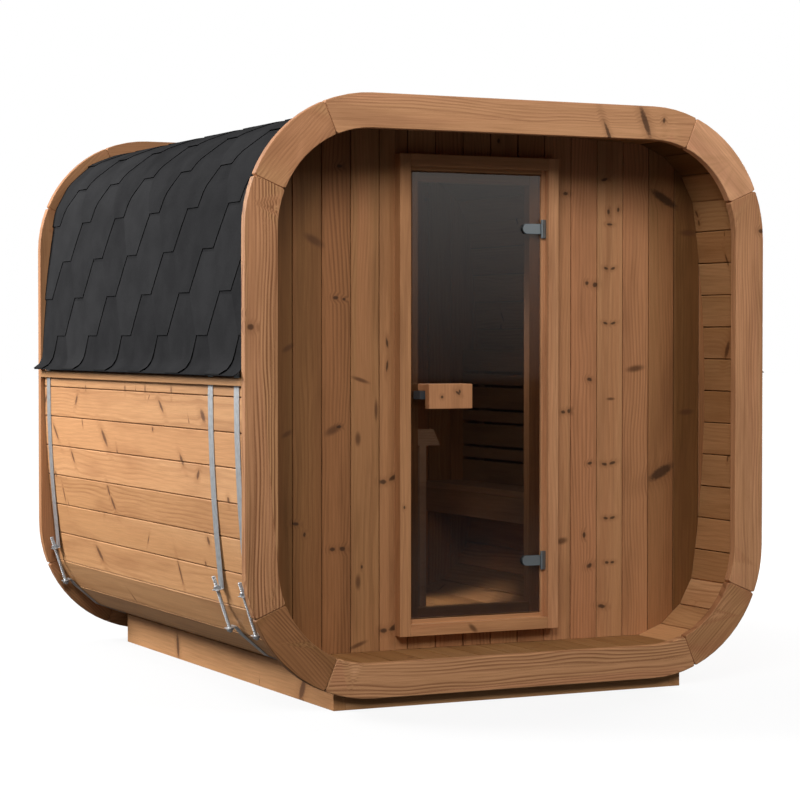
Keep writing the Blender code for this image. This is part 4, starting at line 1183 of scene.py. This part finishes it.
class SAUNA_OT_roof(bpy.types.Operator):
    """Lay the hexagonal shingles over the upper half, and dress the eaves battens"""

    bl_idname = "sauna.roof"
    bl_label = "Shingled roof"

    def execute(self, context):
        settings = context.scene.sauna_roof
        spare, past_ridge, slack = 0.06, 0.01, 2
        line = smoothed(roof_profile(), 0.004, 0.014)
        ridge = line[-1][1]
        away = (line[0] - line[2]) / np.linalg.norm(line[0] - line[2])
        lip = Vector((line[0][0], 0.0, line[0][1]))
        outward = Vector((away[0], 0.0, away[1]))
        line = np.concatenate([[line[0] + away * spare], line, [(-past_ridge, ridge)]])
        run = runs_along(line)
        climb = int(np.argmax(line[:, 1] > settings.first_line))
        first_run = run[climb] - settings.exposure
        group = shingle_group()
        tab = placed("tab", tab_mesh(settings))
        values = {
            "Tab": tab,
            "Courses": math.ceil((run[-1] - first_run) / settings.exposure),
            "Tabs": math.ceil((SHELL_HIGH.y - SHELL_LOW.y) / settings.period) + slack,
            "Period": settings.period,
            "Exposure": settings.exposure,
            "First Y": RING_FACE + settings.first_tab - settings.period / 2,
            "First Run": float(first_run),
            "Lowest Row Stretch": 1.2,
            "Material": material_for("roof_shingle"),
        }
        for side, sign in (("right", 1), ("left", -1)):
            curve = bpy.data.curves.new(f"profile_{side}", "CURVE")
            curve.dimensions = "3D"
            spline = curve.splines.new("POLY")
            spline.points.add(len(line) - 1)
            for point, (x, z) in zip(spline.points, line):
                point.co = (x, 0.0, z, 1.0)
            courses = bmesh.new()
            courses.from_mesh(grown(curve, *group, values))
            sheet = self.underlay(line, settings)
            mesh = mesh_of(f"shingles_{side}", courses, sheet)
            self.trim(mesh, lip, outward, sign, settings.thickness)
            piece = placed(mesh.name, mesh)
            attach(piece, CABIN)
            replaced = [f"roofing_{side}"] + (["roofing_top"] if side == "right" else [])
            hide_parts(*replaced)
        bpy.data.objects.remove(tab)
        self.ridge_caps(settings, ridge)
        arris = context.scene.sauna_timber.arris
        for node in ("eaves_batten_left", "eaves_batten_right"):
            dress_block(node, "stave_timber", CABIN, Y_AXIS, Z_AXIS, arris)
        return {"FINISHED"}

    def ridge_caps(self, settings, height):
        """One row of lapped felt caps over the ridge, from ring to ring."""
        cap = placed("cap", cap_mesh(settings))
        run = SHELL_HIGH.y - SHELL_LOW.y - settings.exposure * 1.4
        count = math.ceil(run / settings.exposure) + 1
        values = {
            "Cap": cap,
            "Count": count,
            "Exposure": run / (count - 1),
            "Start": (0.0, SHELL_LOW.y + 0.001, height),
            "Material": material_for("roof_shingle"),
        }
        mesh = grown(bpy.data.meshes.new("seed"), *cap_group(), values)
        bpy.data.objects.remove(cap)
        coat(mesh, "roof_shingle")
        mesh.name = "ridge_caps"
        piece = placed("ridge_caps", mesh)
        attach(piece, CABIN)

    def underlay(self, line, settings):
        """The plain starter sheet under the tabs, as a closed strip past both ends."""
        overrun, inner, outer = 0.01, -0.5, 0.32
        shape = bmesh.new()
        loops = []
        for y in (SHELL_LOW.y - overrun, SHELL_HIGH.y + overrun):
            for side in (inner, outer):
                row = []
                for i, (x, z) in enumerate(line):
                    before, after = line[max(i - 1, 0)], line[min(i + 1, len(line) - 1)]
                    run = Vector((after[0] - before[0], after[1] - before[1])).normalized()
                    reach = side * settings.thickness
                    row.append(shape.verts.new((x + run.y * reach, y, z - run.x * reach)))
                loops.append(row)
        low_in, low_out, high_in, high_out = loops
        for a, b in (
            (low_out, high_out), (high_in, low_in), (low_in, low_out), (high_out, high_in)
        ):
            for i in range(len(line) - 1):
                shape.faces.new((a[i], a[i + 1], b[i + 1], b[i]))
        for i in (0, -1):
            shape.faces.new((low_in[i], low_out[i], high_out[i], high_in[i]))
        return shape

    def trim(self, mesh, lip, outward, sign, thickness):
        """Cut the courses off at the rings, the ridge, the lip and the CAD's side, mirror the
        left ones, and mark the tabs' cut edges that do not face the rear, to the front and
        below, which the felt paints near black as painted shade."""
        longest_rim = 0.5
        shape = bmesh.new()
        shape.from_mesh(mesh)
        for point, normal in (
            (Vector((0, SHELL_LOW.y, 0)), -Y_AXIS),
            (Vector((0, SHELL_HIGH.y, 0)), Y_AXIS),
            (Vector(), -X_AXIS),
            (lip - outward * 0.0005, outward),
            (Vector((CAD_BOUNDS[1].x - 0.0002, 0, 0)), X_AXIS),
        ):
            cut_off(shape, point, normal)
        if sign < 0:
            bmesh.ops.scale(shape, vec=(-1, 1, 1), verts=shape.verts[:])
        bmesh.ops.recalc_face_normals(shape, faces=shape.faces[:])
        rim = shape.faces.layers.float.new("cut")
        for face in shape.faces:
            longest = max(edge.calc_length() for edge in face.edges)
            narrow = face.calc_area() < 1.5 * thickness * longest and longest < longest_rim
            # Painted shade: only the cut edges that do not face the rear are marked dark
            face[rim] = float(narrow and face.normal.y < 0.1)
        shape.to_mesh(mesh)
        shape.free()
        coat(mesh, "roof_shingle")
        soften(mesh, 35)


class SAUNA_OT_base(bpy.types.Operator):
    """Dress the beams under the floor"""

    bl_idname = "sauna.base"
    bl_label = "Base frame"

    def execute(self, context):
        arris = context.scene.sauna_timber.arris
        for side, along in (
            ("left", Y_AXIS), ("right", Y_AXIS), ("front", X_AXIS), ("rear", X_AXIS)
        ):
            dress_block(f"base_beam_{side}", "stave_timber", CABIN, along, Z_AXIS, arris)
        return {"FINISHED"}


class SAUNA_OT_interior(bpy.types.Operator):
    """Dress the bench, the backrest and the heater guard"""

    bl_idname = "sauna.interior"
    bl_label = "Interior"

    def execute(self, context):
        arris = context.scene.sauna_timber.arris
        for node, along, across, round_over in (
            ("bench_seat", Y_AXIS, X_AXIS, arris * 2),
            ("bench_fascia", Y_AXIS, Z_AXIS, arris),
            ("backrest", Y_AXIS, Z_AXIS, arris),
            ("heater_guard", X_AXIS, Z_AXIS, arris),
        ):
            dress_block(node, "bench_timber", CABIN, along, across, round_over)
        return {"FINISHED"}


class SaunaStageSettings(bpy.types.PropertyGroup):
    """Camera and lights of the studio."""

    focal_length: sized("Focal length", "Lens on a 36 mm sensor", 107.53, unit="CAMERA")
    heading: sized(
        "Heading", "Camera's turn to the right", math.radians(25.95), subtype="ANGLE"
    )
    tilt: sized("Tilt", "Camera's tilt upwards", math.radians(-1.447), subtype="ANGLE")
    camera_place: bpy.props.FloatVectorProperty(
        name="Camera place", description="Where the camera stands",
        default=(-4.025, -8.463, 1.261), subtype="TRANSLATION",
    )
    side_light: sized("Side light", "Watts of the large lamp behind the left side", 970.0)
    front_light: sized("Front light", "Watts of the lamp in front at the right", 160.0)
    near_light: sized("Near light", "Watts of the lamp in front at the left", 375.0)
    right_light: sized("Right light", "Watts of the large lamp on the unseen side", 700.0)
    inside_light: sized("Inside light", "Watts of the small lamp behind the door", 2.2)
    floor_light: sized("Floor light", "Watts of the small lamp over the cabin floor", 1.0)
    sky: sized("Sky", "Strength of the even light from above", 0.13)


class SAUNA_OT_stage(bpy.types.Operator):
    """Set up the camera, the lamps, the light from above and the pale floor"""

    bl_idname = "sauna.stage"
    bl_label = "Stage"

    def execute(self, context):
        settings = context.scene.sauna_stage
        data = bpy.data.cameras.new("camera")
        data.lens = settings.focal_length
        data.sensor_width = 36.0
        data.clip_end = 100.0
        camera = placed("camera", data)
        camera.location = settings.camera_place
        camera.rotation_euler = (math.pi / 2 + settings.tilt, 0.0, -settings.heading)
        context.scene.camera = camera
        context.scene.view_settings.view_transform = "Standard"
        for name, place, target, size, watts in (
            ("side_lamp", (-6.1, 3.9, 4.4), (-1.0, 0.0, 0.9), 3.0, settings.side_light),
            ("front_lamp", (2.6, -6.4, 5.4), (0.0, -1.0, 1.1), 2.4, settings.front_light),
            ("near_lamp", (-3.6, -6.4, 5.4), (0.0, -1.0, 1.1), 3.0, settings.near_light),
            ("right_lamp", (6.6, 2.4, 2.6), (1.0, 0.0, 1.0), 3.0, settings.right_light),
            ("inside_lamp", (-0.15, -0.45, 1.35), (0.35, -0.4, 0.6), 0.25, settings.inside_light),
            ("floor_lamp", (0.5, 0.48, 0.85), (0.5, 0.49, 0.16), 0.12, settings.floor_light),
        ):
            self.lamp(name, place, target, size, watts)
        self.sky_light(context, settings.sky)
        self.floor()
        return {"FINISHED"}

    def lamp(self, name, place, target, size, watts):
        """A square lamp; the smallest one shines in a narrow cone."""
        data = bpy.data.lights.new(name, "AREA")
        data.shape = "SQUARE"
        data.size = size
        data.energy = watts
        data.spread = math.radians(180.0 if size > 0.2 else 55.0)
        made = placed(name, data)
        made.visible_camera = False
        made.location = place
        aim = Vector(target) - Vector(place)
        made.rotation_euler = aim.to_track_quat("-Z", "Y").to_euler()

    def sky_light(self, context, strength):
        """White behind the object, greyer towards the horizon in reflections, soft light from
        above."""
        world = bpy.data.worlds.new("studio")
        world.use_nodes = True
        world.node_tree.nodes.clear()
        add = partial(add_node, world.node_tree)
        path = add("ShaderNodeLightPath").outputs
        height = add(SPLIT, add("ShaderNodeTexCoord").outputs["Generated"]).outputs["Z"]
        glossy = path["Is Glossy Ray"]
        seen = add(HIGHER, path["Is Camera Ray"], path["Is Transmission Ray"])
        mirrored = add(TIMES, glossy, add(SOFT_STEP, height, -0.04, 0.11, 0.08, 1.0))
        shown = add(HIGHER, seen, mirrored)
        above = add(TIMES, add(SOFT_STEP, height, 0.0, 0.5), strength)
        light = add("ShaderNodeBackground", srgb("#fdfcfa"), above)
        white = add("ShaderNodeBackground", (1, 1, 1, 1), shown)
        mixed = add("ShaderNodeMixShader", add(HIGHER, seen, glossy), light, white)
        add("ShaderNodeOutputWorld", {"Surface": mixed})
        context.scene.world = world

    def floor(self):
        """A wide pale floor that keeps the object's shadow and runs out to white."""
        mesh = bpy.data.meshes.new("floor")
        half = 60.0
        corners = [(-half, -half, 0), (half, -half, 0), (half, half, 0), (-half, half, 0)]
        mesh.from_pydata(corners, [], [(0, 1, 2, 3)])
        made, add = new_material("studio_floor")
        path = add("ShaderNodeLightPath").outputs
        seen = add(HIGHER, path["Is Camera Ray"], path["Is Transmission Ray"])
        spot = add("ShaderNodeTexCoord").outputs["Object"]
        run = add("ShaderNodeVectorMath LENGTH", spot)
        shown = add(TIMES, seen, add(SOFT_STEP, run, 1.6, 5.0, 0.86, 1.0))
        paint = add("ShaderNodeBsdfDiffuse", srgb("#5c5c5c"))
        glow = add("ShaderNodeEmission", (1, 1, 1, 1), shown)
        both = add("ShaderNodeAddShader", paint, glow)
        add("ShaderNodeOutputMaterial", {"Surface": both})
        mesh.materials.append(made)
        placed("floor", mesh)


class SAUNA_PT_cabin(bpy.types.Panel):
    """Shows the cabin's settings and the buttons that build it"""

    bl_label = "Sauna cabin"
    bl_idname = "SAUNA_PT_cabin"
    bl_space_type = "VIEW_3D"
    bl_region_type = "UI"
    bl_category = "Sauna"

    def draw(self, context):
        for key in GROUPS:
            group = getattr(context.scene, key)
            for name in group.bl_rna.properties.keys():
                if name not in {"rna_type", "name"}:
                    self.layout.prop(group, name)
        for maker in OPERATORS:
            self.layout.operator(maker.bl_idname)


OPERATORS = (
    SAUNA_OT_rings,
    SAUNA_OT_shell,
    SAUNA_OT_walls,
    SAUNA_OT_doorway,
    SAUNA_OT_door,
    SAUNA_OT_hoops,
    SAUNA_OT_roof,
    SAUNA_OT_base,
    SAUNA_OT_interior,
    SAUNA_OT_stage,
)
GROUPS = {
    "sauna_timber": SaunaTimberSettings,
    "sauna_hoops": SaunaHoopSettings,
    "sauna_roof": SaunaRoofSettings,
    "sauna_stage": SaunaStageSettings,
}


def register():
    for kind in (*GROUPS.values(), *OPERATORS, SAUNA_PT_cabin):
        bpy.utils.register_class(kind)
    for name, kind in GROUPS.items():
        setattr(bpy.types.Scene, name, bpy.props.PointerProperty(type=kind))


def unregister():
    for name in GROUPS:
        delattr(bpy.types.Scene, name)
    for kind in reversed((*GROUPS.values(), *OPERATORS, SAUNA_PT_cabin)):
        bpy.utils.unregister_class(kind)


def main():
    register()
    for maker in OPERATORS:
        group, name = maker.bl_idname.split(".")
        getattr(getattr(bpy.ops, group), name)()


if __name__ == "__main__":
    main()
